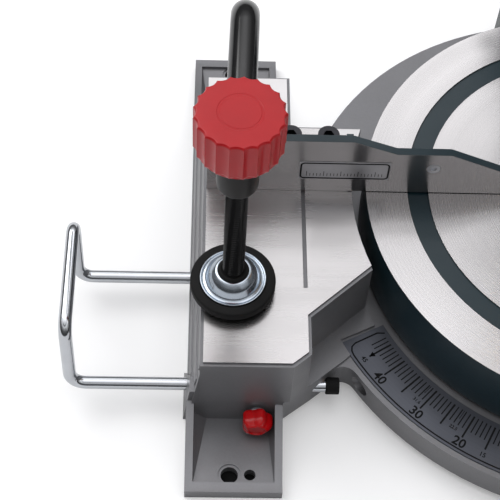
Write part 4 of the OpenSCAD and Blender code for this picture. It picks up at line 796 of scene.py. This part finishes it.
class SAW_OT_base(bpy.types.Operator):
    """Cast base with milled tables, ridged side walls, feet and centre bolt"""
    bl_idname = "saw.base"
    bl_label = "Base"

    def execute(self, context):
        fine = sizes().fine_edge
        # The long rounded edges of the base take a lighter paint, as a painted highlight along them.
        dressed("base_casting", "cast_grey", sizes().edge, faces=level_top(TABLE_H), other="milled",
            rim="cast_edge", merge=0.05 * MM)
        dressed_all(
            ("rubber_feet", "rubber", fine),
            ("pivot_bolt", "zinc", fine),
            ("pivot_nut", "zinc", fine))
        for side, word in ((-1, "left"), (1, "right")):
            for number, (low, high, proud) in enumerate(RIDGES):
                self.ridge(f"side_ridge_{word}_{number}", side, low, high, proud)
            for end in ("front", "rear"):
                for place, rib, reach in FILLETS:
                    self.fillet(f"foot_fillet_{word}_{end}_{place}", side, end, rib, reach)
        return {"FINISHED"}

    def ridge(self, name, side, low, high, proud):
        """A band that stands proud of a side wall, from front to rear."""
        outline = [
            (side_wall(low) - MM, low), (side_wall(low + MM) + proud, low + MM),
            (side_wall(high - MM) + proud, high - MM), (side_wall(high) - MM, high)]
        rings = [[Vector((side * x, y, z)) for x, z in outline]
            for y in (-BLOCK_FRONT + 3 * MM, BLOCK_REAR - 2 * MM)]
        mesh = from_rings(name, rings)
        smooth(mesh)
        piece = settle(mesh, name, "base_casting", ["cast_grey"])
        soften(piece, sizes().fine_edge)

    def fillet(self, name, side, end, rib, reach):
        """A tapering fillet between a foot's floor and one of its ribs."""
        if end == "front":
            wall, tip = -BLOCK_FRONT - 1 * MM, FOOT_FRONT + 8 * MM
        else:
            wall, tip = BLOCK_REAR + 2 * MM, FOOT_REAR - 8 * MM
        low = FOOT_TOP - 0.5 * MM
        foot = [Vector((side * x, y, z)) for x, y, z in (
            (rib, wall, low), (rib + reach, wall, low), (rib, wall, low + FILLET_H),
            (rib, tip, low), (rib + reach / 9, tip, low), (rib, tip, low + FILLET_TIP_H))]
        mesh = from_rings(name, [foot[:3], foot[3:]])
        smooth(mesh, FILLET_ANGLE)
        settle(mesh, name, "base_casting", ["cast_grey"])


SCALE_IN = 149.6 * MM
SCALE_BORDER = 172.6 * MM
SCALE_TURN = 13.2
SCALE_ENDS = (-47, 47)
SCALE_LINE_W = 0.9 * MM
TICK_SHORT = 10.2 * MM
TICK_LONG = 15.6 * MM
TICK_FINE = 0.68 * MM
TICK_WIDE = 1.05 * MM
DETENTS = (-22.5, 22.5, -31.6, 31.6)
DETENT_TICK_L = TICK_SHORT * 0.6
DETENT_TICK_W = 0.35 * MM
ARROW_W = 3.6 * MM
ARROW_L = 3.4 * MM
# Degrees that are numbered, distance from the middle, and share of the full height.
NUMERALS = (
    (DETENTS, 162.6 * MM, 0.36), (range(-40, 41, 10), 168.8 * MM, 1),
    ((-45, -15, 15, 45), 168.8 * MM, 0.5))


def on_plate(angle, radius, height, inwards=False):
    """Matrix on the mitre scale: y runs outwards, at an angle left of the scale's zero."""
    turn = Matrix.Rotation(math.pi - math.radians(angle + SCALE_TURN), 4, "Z")
    place = Matrix.Translation((0, 0, height)) @ turn @ Matrix.Translation((0, radius, 0))
    return place @ Matrix.Rotation(math.pi, 4, "Z") if inwards else place


class SAW_OT_mitre_scale(bpy.types.Operator):
    """Printed mitre scale on the lower deck"""
    bl_idname = "saw.mitre_scale"
    bl_label = "Mitre scale"

    def execute(self, context):
        dressed("mitre_scale", "plate", 0.15 * MM)
        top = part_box("mitre_scale")[1].z
        ink = Patches()
        for degree in range(SCALE_ENDS[0], SCALE_ENDS[1] + 1):
            place = on_plate(degree, SCALE_IN, top)
            if degree % 5:
                ink.bar(place, TICK_FINE, TICK_SHORT)
            else:
                ink.bar(place, TICK_WIDE, TICK_LONG)
        for degree in DETENTS:
            ink.bar(on_plate(degree, SCALE_IN, top), DETENT_TICK_W, DETENT_TICK_L)
        for degrees, radius, share in NUMERALS:
            for degree in degrees:
                place = on_plate(degree, radius, top, True)
                ink.numeral(str(abs(degree)), sizes().numeral * share, place)
        ink.ribbon(self.border(top), SCALE_LINE_W)
        for degree in (-45, 45):
            ink.arrow(on_plate(degree, SCALE_IN + TICK_LONG - ARROW_L, top), ARROW_W, ARROW_L)
        ink.done("mitre_scale_marks", "mitre_scale", "ink")
        return {"FINISHED"}

    def border(self, top):
        """Points along the rim of the scale and round its left end."""
        line = [(SCALE_BORDER, degree) for degree in range(-36, 61)]
        line += [
            (SCALE_BORDER - 0.5 * MM, 61), (SCALE_BORDER - 2 * MM, 61.8),
            (SCALE_BORDER - 5 * MM, 62.2), (SCALE_IN + 3 * MM, 62.2), (SCALE_IN - 1 * MM, 61.4)]
        points = []
        for radius, degree in line:
            angle = math.radians(degree)
            points.append(Vector((-radius * math.sin(angle), -radius * math.cos(angle), top)))
        return points


LABEL_MARGIN = 1.0 * MM
LABEL_CORNER = 2.2 * MM
LABEL_LINE = 1.1 * MM
RULE_MARKS = 23
RULE_STEP = 2 * MM
RULE_START = Vector((4.5, 0, 3)) * MM
RULE_W = 0.35 * MM
RULE_SHORT = 2.6 * MM
RULE_LONG = 4.5 * MM
SCREW_FACE_Y = 6 * MM


class SAW_OT_fence(bpy.types.Operator):
    """Two-part fence with its milled face, screws and rule plate"""
    bl_idname = "saw.fence"
    bl_label = "Fence"

    def execute(self, context):
        for node in ("fence_left", "fence_right"):
            # The front faces take the darker milled finish, a painted shade.
            dressed(node, "teal_paint", 0.5 * MM, faces=front_of(0), other="fence_face")
        dressed("fence_screws", "black_screw", 0.3 * MM, faces=ahead_of(SCREW_FACE_Y), other="zinc")
        dressed("fence_plate", "label_plate", 0.2 * MM)
        low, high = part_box("fence_plate")
        ink = Patches()
        ink.ribbon(self.border(low, high), LABEL_LINE, Vector((0, -1, 0)), True)
        for mark in range(RULE_MARKS):
            place = low + RULE_START + Vector((mark * RULE_STEP, 0, 0))
            length = RULE_SHORT if mark % 5 else RULE_LONG
            ink.bar(Matrix.Translation(place) @ FACING_FRONT, RULE_W, length)
        ink.done("fence_plate_marks", "fence_plate", "ink")
        return {"FINISHED"}

    def border(self, low, high):
        """Points of a frame with round corners inside a plate's edge."""
        inset = LABEL_MARGIN + LABEL_CORNER
        line = []
        for x, z, start in (
                (high.x - inset, high.z - inset, 0), (low.x + inset, high.z - inset, 90),
                (low.x + inset, low.z + inset, 180), (high.x - inset, low.z + inset, 270)):
            for degree in range(start, start + 91, 18):
                angle = math.radians(degree)
                corner = Vector((math.cos(angle), 0, math.sin(angle))) * LABEL_CORNER
                line.append(Vector((x, low.y, z)) + corner)
        return line


BEVEL_END = 47
# Distance from the bevel axis, and length.
BEVEL_LONG_TICK = (36.4 * MM, 3.6 * MM)
BEVEL_SHORT_TICK = (37.6 * MM, 2.4 * MM)
BEVEL_TICK_W = 0.4 * MM
BEVEL_NUMERAL_R = 33.6 * MM
BEVEL_NUMERAL = 2.6 * MM


class SAW_OT_turntable(bpy.types.Operator):
    """Turned table with its painted ring, arm, kerf plate, pointer and bolts"""
    bl_idname = "saw.turntable"
    bl_label = "Turntable"

    def execute(self, context):
        fine = sizes().fine_edge
        dressed("turntable", "teal_paint", sizes().edge,
            faces=level_top(TABLE_H), other="turned_table")
        dressed_all(
            ("kerf_plate", "red", fine),
            ("kerf_screws", "zinc", 0.2 * MM),
            ("mitre_pointer", "red", 0.2 * MM),
            ("bevel_scale", "label_plate", 0.15 * MM),
            ("bevel_pivot_bolt", "zinc", fine),
            ("bevel_lock_stud", "zinc", fine),
            ("lock_shoe", "black_screw", fine),
            ("detent_lever", "black", 0.8 * MM))
        self.bevel_marks()
        return {"FINISHED"}

    def bevel_marks(self):
        """Ticks and numbers of the bevel scale, round the bevel axis."""
        front = Matrix.Translation((0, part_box("bevel_scale")[0].y, joint_at("bevel").z))
        ink = Patches()
        for degree in range(0, BEVEL_END, 5):
            numbered = degree % 15 == 0
            start, length = BEVEL_LONG_TICK if numbered else BEVEL_SHORT_TICK
            turn = front @ Matrix.Rotation(math.radians(-degree), 4, "Y")
            ink.bar(turn @ Matrix.Translation((0, 0, start)) @ FACING_FRONT, BEVEL_TICK_W, length)
            if numbered:
                place = turn @ Matrix.Translation((0, 0, BEVEL_NUMERAL_R)) @ FACING_FRONT
                ink.numeral(str(degree), BEVEL_NUMERAL, place)
        ink.done("bevel_scale_marks", "bevel_scale", "ink")


def held(value):
    """A value held between 0 and 1."""
    return min(1, max(0, value))


def lobed(count, depth, power):
    """Radius change of a knob with hollows between rounded lobes."""
    return lambda angle, height, radius: -depth * (0.5 - 0.5 * math.cos(count * angle)) ** power


def fluted(count, depth, low, high, fade):
    """Radius change of hollow flutes with narrow crests, between two heights."""
    def change(angle, height, radius):
        share = (angle * count / WHOLE_TURN) % 1
        ends = held((height - low) / fade) * held((high - height) / fade)
        return -depth * 4 * share * (1 - share) * ends
    return change


def at_rim(change, rim, start, rise):
    """A radius change that fades in towards the rim, from a share of its radius."""
    return lambda angle, height, radius: (
        change(angle, height, radius) * held((radius / rim - start) * rise))


KNOB_FLUTES = 8
KNOB_FLUTE_D = 3.2 * MM
KNOB_SHELL = 26 * MM


class SAW_OT_mitre_lock(bpy.types.Operator):
    """Fluted lock knob on its rod"""
    bl_idname = "saw.mitre_lock"
    bl_label = "Mitre lock"

    def execute(self, context):
        dressed("mitre_lock_rod", "zinc", 0.3 * MM)
        low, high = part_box("mitre_lock_knob")
        at = frame_on((0, high.y, joint_at("mitre_lock_turn").z), (0, -1, 0), (1, 0, 0))
        length = high.y - low.y
        rim = half_width("mitre_lock_knob")
        boss = length - KNOB_SHELL

        def flutes(angle, height, radius):
            wave = 0.5 + 0.5 * math.cos(KNOB_FLUTES * angle)
            return -KNOB_FLUTE_D * wave ** 2 if radius > rim * 0.7 else 0

        profile = [
            (0, 0), (8 * MM, 0), (8 * MM, boss), (rim - 2 * MM, boss, 1 * MM),
            (rim, boss + 3 * MM, 1 * MM), (rim, length - 7 * MM, 2 * MM),
            (rim - 3 * MM, length - 4 * MM, 2 * MM), (11 * MM, length - 0.6 * MM, 1 * MM),
            (9 * MM, length - 0.1 * MM), (8.5 * MM, length - 1 * MM), (0, length - 1 * MM)]
        lathe("mitre_lock_knob_shell", profile, at, "mitre_lock_knob", "red",
            replaces=True, steps=160, shape=flutes, sharp=50)
        return {"FINISHED"}


ARM_Z = 178 * MM
ARM_BEND = 22 * MM
EYE_R = 10.8 * MM
EYE_HOLE = 6.1 * MM
KNOB_TOP = 226 * MM
KNOB_LOW = 201 * MM
KNOB_FACE = KNOB_TOP - 0.12 * MM
NECK_R = 5.5 * MM
THREAD_R = 6 * MM
THREAD_END_R = 5.2 * MM
THREAD_DEPTH = 0.62 * MM
THREAD_ROWS = 7
PAD_TOP = 80 * MM
GROMMET_HOLE = 6.3 * MM


class SAW_OT_clamp(bpy.types.Operator):
    """Hold-down clamp: bent bar, threaded spindle, knob, cup and pad"""
    bl_idname = "saw.clamp"
    bl_label = "Hold-down clamp"

    def execute(self, context):
        at = Matrix.Translation((SPINDLE_AT.x, SPINDLE_AT.y, 0))
        self.arm(at)
        dressed("clamp_collar", "black", 0.6 * MM)
        self.spindle(at)
        self.knob(at)
        self.foot(at)
        hand_screw("clamp_post_screw")
        return {"FINISHED"}

    def arm(self, at):
        """The bent bar, the eye at its end and the shoulder over its collar."""
        bar = sizes().clamp_bar / 2
        post = Vector((POST_AT.x, POST_AT.y, 0))
        spot = at.translation
        reach = (spot - post).normalized()
        lift = Vector((0, 0, 1))
        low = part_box("clamp_arm")[0].z
        end = spot + lift * ARM_Z - reach * (EYE_R - 2 * MM)
        path = bent([post + lift * low, post + lift * ARM_Z, end], ARM_BEND)
        swept("clamp_bar", path, bar, 32, "clamp_arm", "gloss_black")
        eye = [
            (EYE_HOLE, ARM_Z - 8 * MM), (EYE_R, ARM_Z - 8 * MM, 1.2 * MM),
            (EYE_R, ARM_Z + 10 * MM, 1.2 * MM), (EYE_HOLE, ARM_Z + 10 * MM)]
        lathe("clamp_eye", eye, at, "clamp_arm", "dull_black", steps=48)
        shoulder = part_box("clamp_collar")[1].z + 0.4 * MM
        profile = [
            (bar, shoulder), (bar + 2 * MM, shoulder, 0.5 * MM),
            (bar + 2 * MM, shoulder + 4.5 * MM, 1 * MM), (bar, shoulder + 4.5 * MM)]
        lathe("clamp_shoulder", profile, Matrix.Translation(post), "clamp_arm", "gloss_black")

    def spindle(self, at):
        """The threaded rod, and its neck under the knob."""
        pitch = sizes().thread_pitch
        start, stop = PAD_TOP + 6 * MM, KNOB_LOW - 5 * MM
        rows = int((stop - start) / (pitch / THREAD_ROWS))
        profile = [(THREAD_END_R, start)]
        profile += [(THREAD_R, start + (stop - start) * i / rows) for i in range(rows + 1)]
        profile += [(THREAD_END_R, stop)]

        def thread(angle, height, radius):
            phase = (height / pitch - angle / WHOLE_TURN) % 1
            on_thread = radius > (THREAD_R + THREAD_END_R) / 2
            return -THREAD_DEPTH * held(2.4 * abs(phase - 0.5) - 0.1) if on_thread else 0

        lathe("clamp_thread", profile, at, "clamp_spindle", "gloss_black",
            replaces=True, steps=40, shape=thread, sharp=28)
        neck = [
            (NECK_R, KNOB_LOW - 6.5 * MM), (8.3 * MM, KNOB_LOW - 6.5 * MM, 0.8 * MM),
            (8.5 * MM, KNOB_LOW, 0.3 * MM), (NECK_R, KNOB_LOW + 1 * MM)]
        lathe("clamp_neck", neck, at, "clamp_spindle", "dull_black")

    def knob(self, at):
        """The fluted knob, with a fine ring in its top."""
        rim = half_width("clamp_knob")
        flutes = sizes().knob_flutes
        low, high = KNOB_LOW + 0.2 * MM, KNOB_TOP + 1 * MM
        crests = fluted(flutes, sizes().knob_groove, low, high, 1.5 * MM)
        profile = [
            (NECK_R, KNOB_LOW), (rim - 1.6 * MM, KNOB_LOW, 0.8 * MM),
            (rim, KNOB_LOW + 2 * MM, 0.8 * MM), (rim, KNOB_TOP - 1.1 * MM, 0.9 * MM),
            (rim - 0.9 * MM, KNOB_TOP - 0.15 * MM, 0.5 * MM), (rim * 0.5, KNOB_FACE),
            (rim * 0.49, KNOB_TOP - 0.27 * MM), (rim * 0.45, KNOB_TOP - 0.27 * MM),
            (rim * 0.44, KNOB_FACE), (0, KNOB_FACE)]
        lathe("clamp_knob_shell", profile, at, "clamp_knob", "red",
            replaces=True, steps=flutes * 12, shape=at_rim(crests, rim, 0.75, 8), sharp=24)

    def foot(self, at):
        """The rubber pad, the pressed cup in it and the grommet round the rod."""
        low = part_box("clamp_pad")[0].z
        rim = half_width("clamp_pad")
        cup = half_width("clamp_dome")
        pad = [
            (0, low), (rim, low, 0.8 * MM), (rim, PAD_TOP - 0.6 * MM, 1.4 * MM),
            (cup + 0.6 * MM, PAD_TOP, 0.3 * MM), (cup, PAD_TOP - 0.5 * MM), (0, PAD_TOP - 0.5 * MM)]
        lathe("clamp_pad_skin", pad, at, "clamp_pad", "rubber", replaces=True, steps=96)
        dish = [
            (cup - 2 * MM, PAD_TOP - 0.4 * MM), (cup, PAD_TOP - 0.4 * MM, 0.2 * MM),
            (cup, PAD_TOP + 0.9 * MM, 0.4 * MM), (cup - 0.7 * MM, PAD_TOP + 0.9 * MM, 0.3 * MM),
            (cup - 1.5 * MM, PAD_TOP + 0.1 * MM, 0.4 * MM),
            (cup - 3.4 * MM, PAD_TOP + 0.7 * MM, 1 * MM),
            (cup - 5.5 * MM, PAD_TOP + 5.8 * MM, 4 * MM),
            (cup - 8.5 * MM, PAD_TOP + 8.6 * MM, 2.5 * MM),
            (8.6 * MM, PAD_TOP + 8.9 * MM, 0.6 * MM), (8.2 * MM, PAD_TOP + 7.4 * MM),
            (GROMMET_HOLE, PAD_TOP + 7.4 * MM)]
        lathe("clamp_cup", dish, at, "clamp_dome", "cup", replaces=True, steps=96, sharp=60)
        grommet = [
            (GROMMET_HOLE, PAD_TOP + 7.2 * MM), (8.4 * MM, PAD_TOP + 7.2 * MM, 0.5 * MM),
            (8.6 * MM, PAD_TOP + 9.6 * MM, 0.8 * MM), (7.2 * MM, PAD_TOP + 10.6 * MM, 0.6 * MM),
            (GROMMET_HOLE, PAD_TOP + 10 * MM)]
        lathe("clamp_grommet", grommet, at, "clamp_pad", "rubber")


HAND_KNOB_L = 11 * MM
HAND_LOBES = 5
HAND_LOBE_D = 1.8 * MM
SHANK_R = 3 * MM


def hand_screw(node):
    """A lobed hand screw along Y: knob with a dished end, shank and washer."""
    low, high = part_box(node)
    centre = (low + high) / 2
    faces_front = "thumb" in node
    outward = -1 if faces_front else 1
    end, inner = (low.y, high.y) if faces_front else (high.y, low.y)
    rim = half_width(node)
    knob = HAND_KNOB_L
    at = frame_on((centre.x, end - outward * knob, centre.z), (0, outward, 0), (1, 0, 0))
    profile = [
        (0, 0), (rim - 1.2 * MM, 0, 0.6 * MM), (rim, 1.6 * MM, 0.8 * MM),
        (rim, knob - 3.4 * MM, 2.2 * MM), (rim - 2.4 * MM, knob - 0.5 * MM, 1.4 * MM),
        (rim * 0.52, knob, 0.4 * MM), (rim * 0.46, knob - 0.9 * MM, 0.3 * MM), (0, knob - 0.9 * MM)]
    lobes = at_rim(lobed(HAND_LOBES, HAND_LOBE_D, 0.85), rim, 0.55, 3.5)
    lathe(node + "_knob", profile, at, node, "gloss_red",
        replaces=True, steps=120, shape=lobes, sharp=50)
    shank = abs(end - inner) - knob
    profile = [
        (0, -shank), (SHANK_R - 0.5 * MM, -shank), (SHANK_R, -shank + 0.5 * MM),
        (SHANK_R, 0.5 * MM), (0, 0.5 * MM)]
    lathe(node + "_shank", profile, at, node, "zinc", steps=32)
    if faces_front:
        profile = [
            (SHANK_R, -1.4 * MM), (6 * MM, -1.4 * MM, 0.3 * MM), (6 * MM, 0.1 * MM, 0.3 * MM),
            (SHANK_R, 0.1 * MM)]
        lathe(node + "_washer", profile, at, node, "chrome", steps=40)


WIRE_Z = 16 * MM
WIRE_FRONT = -101.6 * MM
WIRE_REAR = -28.7 * MM
WIRE_LEAN = 6.5 * MM
WIRE_BEND = 9 * MM
ROD_END = 160.5 * MM


class SAW_OT_extensions(bpy.types.Operator):
    """Bent wire extensions on both sides, their caps and hand screws"""
    bl_idname = "saw.extensions"
    bl_label = "Extensions"

    def execute(self, context):
        wire = sizes().wire / 2
        top = TABLE_H - wire
        for side, word in ((-1, "left"), (1, "right")):
            node = "extension_wire_" + word
            out = abs(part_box(node)[0 if side < 0 else 1].x) - wire
            points = [
                (side * ROD_END, WIRE_FRONT, WIRE_Z), (side * out, WIRE_FRONT, WIRE_Z),
                (side * out, WIRE_FRONT + WIRE_LEAN, top), (side * out, WIRE_REAR + WIRE_LEAN, top),
                (side * out, WIRE_REAR, WIRE_Z), (side * ROD_END, WIRE_REAR, WIRE_Z)]
            swept("wire_" + word, bent(points, WIRE_BEND), wire, 28, node, "chrome")
            dressed("wire_caps_" + word, "rubber", 0.8 * MM)
            hand_screw("thumbscrew_" + word)
        return {"FINISHED"}


COIL_R = 9.6 * MM
COIL_LEFT = 8.6 * MM
COIL_RIGHT = 18.3 * MM
COIL_TURNS = 3
COIL_STEPS = 14
COIL_WIRE_R = 1.2 * MM
HEAD_LEG = 30 * MM
HEAD_LEG_STEPS = 5
BRACKET_LEG = 36 * MM
BRACKET_LEG_STEPS = 6


class SAW_OT_tilt(bpy.types.Operator):
    """Tilting bracket with its pointer, lock lever, axle, spring and lock pin"""
    bl_idname = "saw.tilt"
    bl_label = "Tilting bracket"

    def execute(self, context):
        dressed_all(
            ("tilt_bracket", "teal_paint", sizes().edge),
            ("bevel_pointer", "red", 0.2 * MM),
            ("bevel_lock_lever", "black", 0.5 * MM),
            ("chop_axle", "zinc", 0.4 * MM),
            ("lock_pin", "zinc", 0.4 * MM))
        self.spring(COIL_LEFT, COIL_RIGHT)
        return {"FINISHED"}

    def spring(self, left, right):
        """The lift spring round the axle: a leg on the head, the coil, and a leg on the bracket."""
        first = math.pi / 2 + CHOP_REST
        total = WHOLE_TURN * COIL_TURNS + first
        count = COIL_TURNS * COIL_STEPS + COIL_STEPS // 4

        def round_axle(angle, x):
            y = CHOP_AT.y + COIL_R * math.cos(angle)
            z = CHOP_AT.z + COIL_R * math.sin(angle)
            return Vector((x, y, z))

        on_head = Vector((0, -math.sin(first), math.cos(first))) * HEAD_LEG
        on_bracket = Vector((0, 0, -1)) * BRACKET_LEG
        path = []
        for k in range(HEAD_LEG_STEPS, 0, -1):
            path.append(round_axle(first, left) + on_head * k / HEAD_LEG_STEPS)
        for i in range(count + 1):
            path.append(round_axle(first - total * i / count, left + (right - left) * i / count))
        for k in range(1, BRACKET_LEG_STEPS + 1):
            path.append(round_axle(0, right) + on_bracket * k / BRACKET_LEG_STEPS)
        spring = swept("chop_spring_coil", path, COIL_WIRE_R, 10, "chop_spring", "zinc",
            rides=False)
        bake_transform(spring)


class SAW_OT_head(bpy.types.Operator):
    """Saw head: guard, gear case, motor, handle, switch and dust port"""
    bl_idname = "saw.head"
    bl_label = "Saw head"

    def execute(self, context):
        dressed_all(
            ("upper_guard", "head_grey", 1.0 * MM),
            ("gear_cover", "head_grey", 0.8 * MM),
            ("motor_housing", "black", 0.8 * MM),
            ("motor_cap", "teal_paint", 0.8 * MM),
            ("head_screws", "zinc", 0.25 * MM),
            ("dust_port", "black", 0.5 * MM),
            ("cable_gland", "rubber", 0.5 * MM),
            ("handle_left", "black", 2.4 * MM, 4),
            ("handle_right", "black", 2.4 * MM, 4),
            ("trigger", "red", 1.0 * MM, 3),
            ("lock_off_button", "red", 0.6 * MM),
            ("arbor_lock", "red", 0.6 * MM))
        coated("winding", "motor_stator", "armature")
        coated("black", "motor_fan")
        coated("gear_steel", "driven_gear")
        return {"FINISHED"}


TEETH = 40
BLADE_R = 108 * MM
TIP_INSET = 4.5 * MM
TIP_L = 4.4 * MM
TIP_DEPTH = 1.9 * MM
TIP_W = 2.4 * MM
TIP_FORWARD = 0.4 * MM


class SAW_OT_blade(bpy.types.Operator):
    """Blade with carbide tips, flanges, spindle and clear lower guard"""
    bl_idname = "saw.blade"
    bl_label = "Blade and lower guard"

    def execute(self, context):
        dressed_all(
            ("saw_blade", "turned_blade"),
            ("blade_flanges", "zinc", 0.3 * MM),
            ("arbor_bolt", "black_screw", 0.3 * MM),
            ("lower_guard", "clear", 0.4 * MM))
        coated("gear_steel", "spindle")
        tips = Patches(TIP_W)
        for i in range(TEETH):
            angle = WHOLE_TURN * i / TEETH + CHOP_REST
            out = Vector((0, math.cos(angle), math.sin(angle)))
            along = Vector((0, -math.sin(angle), math.cos(angle)))
            across = along.cross(out)
            start = BLADE_AT + out * (BLADE_R - TIP_INSET) + along * TIP_FORWARD
            place = Matrix((along, out, across)).transposed().to_4x4()
            place.translation = Vector((0, start.y, start.z)) - across * TIP_W / 2
            tips.bar(place, TIP_DEPTH, TIP_L)
        tips.done("blade_tips", "saw_blade", "carbide")
        return {"FINISHED"}


CAMERA_AT = Vector((-234.9, -467.6, 714.7)) * MM
# Degrees: turn from the rear to the left, angle below level, and roll.
CAMERA_TURN = (-3.11, 56.59, 3.62)
CAMERA_LENS = 96.77
# Name, place, aim, size and share of the key lamp's power.
LAMPS = (
    ("key", (-1.25, 0.85, 1.6), (-0.1, 0, 0.05), 1.2, 1.0),
    ("fill", (1.4, -1.2, 1.5), (0, 0, 0.1), 1.6, 0.2))
FLOOR_HALF = 8
# Colour of the floor below the feet: painted shade, near black.
PAINTED_SHADE_UNDER_FOOT = (0.01, 0.01, 0.01)
# Sine of the elevation, 0 also for all below level, and brightness.
SKY = (
    (0.0, 0.08), (0.4, 0.25), (0.62, 0.9), (0.745, 2.4), (0.785, 0.5), (0.835, 0.38), (0.865, 1.85),
    (1.0, 1.9))
SKY_BLUE = 1.02
FRONT_DARK = {"From Min": -0.45, "From Max": 0.1, "To Min": 0.45, "To Max": 1.0}


def camera_frame():
    """Right, up and back vectors of the photograph's camera."""
    yaw, down, roll = (math.radians(a) for a in CAMERA_TURN)
    level = math.cos(down)
    ahead = Vector((-math.sin(yaw) * level, math.cos(yaw) * level, -math.sin(down)))
    right = Vector((math.cos(yaw), math.sin(yaw), 0))
    above = right.cross(ahead)
    rolled = right * math.cos(roll) + above * math.sin(roll)
    return rolled, above * math.cos(roll) - right * math.sin(roll), -ahead


class SAW_OT_stage(bpy.types.Operator):
    """Floor, lamps, world and camera"""
    bl_idname = "saw.stage"
    bl_label = "Stage"

    def execute(self, context):
        scene = context.scene
        scene.view_settings.view_transform = "Standard"
        self.floor(scene)
        self.world(scene)
        for name, place, aim, size, share in LAMPS:
            self.lamp(scene, name, Vector(place), Vector(aim), size, scene.saw_stage.key * share)
        self.camera(scene)
        return {"FINISHED"}

    def lamp(self, scene, name, place, aim, size, power):
        """A square area lamp that looks at a point."""
        lamp = bpy.data.lights.new(name, "AREA")
        lamp.shape = "SQUARE"
        lamp.size = size
        lamp.energy = power
        holder = bpy.data.objects.new(name, lamp)
        scene.collection.objects.link(holder)
        holder.location = place
        holder.rotation_euler = (aim - place).to_track_quat("-Z", "Y").to_euler()

    def camera(self, scene):
        """The camera that the photograph was taken with, as worked out from it."""
        eye = bpy.data.cameras.new("photo_camera")
        eye.lens = CAMERA_LENS
        eye.sensor_width = 36
        eye.clip_start = 0.02
        eye.clip_end = 30
        camera = bpy.data.objects.new("photo_camera", eye)
        scene.collection.objects.link(camera)
        place = Matrix(camera_frame()).transposed().to_4x4()
        place.translation = CAMERA_AT
        camera.matrix_world = place
        scene.camera = camera

    def floor(self, scene):
        """The floor, which isn't part of the saw."""
        mesh = bpy.data.meshes.new("floor")
        half = FLOOR_HALF
        corners = [(-half, -half, 0), (half, -half, 0), (half, half, 0), (-half, half, 0)]
        mesh.from_pydata(corners, [], [(0, 1, 2, 3)])
        floor = bpy.data.objects.new("floor", mesh)
        scene.collection.objects.link(floor)
        material = bpy.data.materials.new("floor")
        material.use_nodes = True
        mesh.materials.append(material)
        self.floor_nodes(material.node_tree, scene.saw_stage)

    def floor_nodes(self, tree, look):
        """A matt floor that glows for the camera, but below the feet is painted near black as painted shade,
        without glow.
        """
        tree.nodes.clear()
        sheet = Sheet(tree)
        x, y, z = sheet.parts(sheet.node("ShaderNodeNewGeometry", {}, {}, "Position"))
        beside = abs(x).near(BLOCK_X - 17 * MM, 25 * MM)
        along = y.near((FOOT_FRONT + FOOT_REAR) / 2, (FOOT_REAR - FOOT_FRONT) / 2 - 3 * MM)
        open_floor = 1 - beside * along
        # Below the feet the floor is near black, a painted shade.
        cover = sheet.blend(open_floor, PAINTED_SHADE_UNDER_FOOT, linear(look.floor))
        glow = sheet.camera_ray() * look.glow * open_floor
        matt = sheet.node("ShaderNodeBsdfDiffuse", {}, {"Color": cover})
        light = sheet.node("ShaderNodeEmission", {}, {"Color": (1, 1, 1, 1), "Strength": glow})
        both = sheet.node("ShaderNodeAddShader", {}, {0: matt, 1: light})
        sheet.node("ShaderNodeOutputMaterial", {}, {"Surface": both})

    def world(self, scene):
        """White for the camera, and bands for reflections that are dimmer to the front."""
        world = bpy.data.worlds.new("studio")
        scene.world = world
        world.use_nodes = True
        world.node_tree.nodes.clear()
        sheet = Sheet(world.node_tree)
        x, y, z = sheet.parts(sheet.node("ShaderNodeTexCoord", {}, {}, "Generated"))
        stops = [(at, (value, value, value * SKY_BLUE)) for at, value in SKY]
        bands = sheet.node("ShaderNodeValToRGB", {"stops": stops}, {0: z})
        front = sheet.node("ShaderNodeMapRange", {"interpolation_type": "SMOOTHSTEP"},
            {"Value": y, **FRONT_DARK}, "Result")
        soft = sheet.node("ShaderNodeBackground", {}, {"Color": bands, "Strength": front})
        white = sheet.node("ShaderNodeBackground", {}, {"Color": (1, 1, 1, 1)})
        mix = sheet.node("ShaderNodeMixShader", {}, {0: sheet.camera_ray(), 1: soft, 2: white})
        sheet.node("ShaderNodeOutputWorld", {}, {"Surface": mix})


BUILDERS = (
    SAW_OT_base, SAW_OT_mitre_scale, SAW_OT_fence, SAW_OT_turntable, SAW_OT_mitre_lock,
    SAW_OT_clamp, SAW_OT_extensions, SAW_OT_tilt, SAW_OT_head, SAW_OT_blade, SAW_OT_stage)


class SAW_PT_panel(bpy.types.Panel):
    """Lists the pieces of the saw and their sizes and colours"""
    bl_idname = "SAW_PT_panel"
    bl_label = "Mitre saw"
    bl_space_type = "VIEW_3D"
    bl_region_type = "UI"
    bl_category = "Mitre saw"

    def draw(self, context):
        scene = context.scene
        for group in (scene.saw_sizes, scene.saw_colours, scene.saw_stage):
            box = self.layout.box()
            for name in group.bl_rna.properties.keys():
                if name not in {"rna_type", "name"}:
                    box.prop(group, name)
        for builder in BUILDERS:
            self.layout.operator(builder.bl_idname)


GROUPS = (SawSizes, SawColours, StageLook)


def register():
    for item in GROUPS + BUILDERS + (SAW_PT_panel,):
        bpy.utils.register_class(item)
    bpy.types.Scene.saw_sizes = PointerProperty(type=SawSizes)
    bpy.types.Scene.saw_colours = PointerProperty(type=SawColours)
    bpy.types.Scene.saw_stage = PointerProperty(type=StageLook)


def unregister():
    for name in ("saw_sizes", "saw_colours", "saw_stage"):
        delattr(bpy.types.Scene, name)
    for item in reversed(GROUPS + BUILDERS + (SAW_PT_panel,)):
        bpy.utils.unregister_class(item)


def main():
    register()
    for builder in BUILDERS:
        group, name = builder.bl_idname.split(".")
        getattr(getattr(bpy.ops, group), name)()


if __name__ == "__main__":
    main()
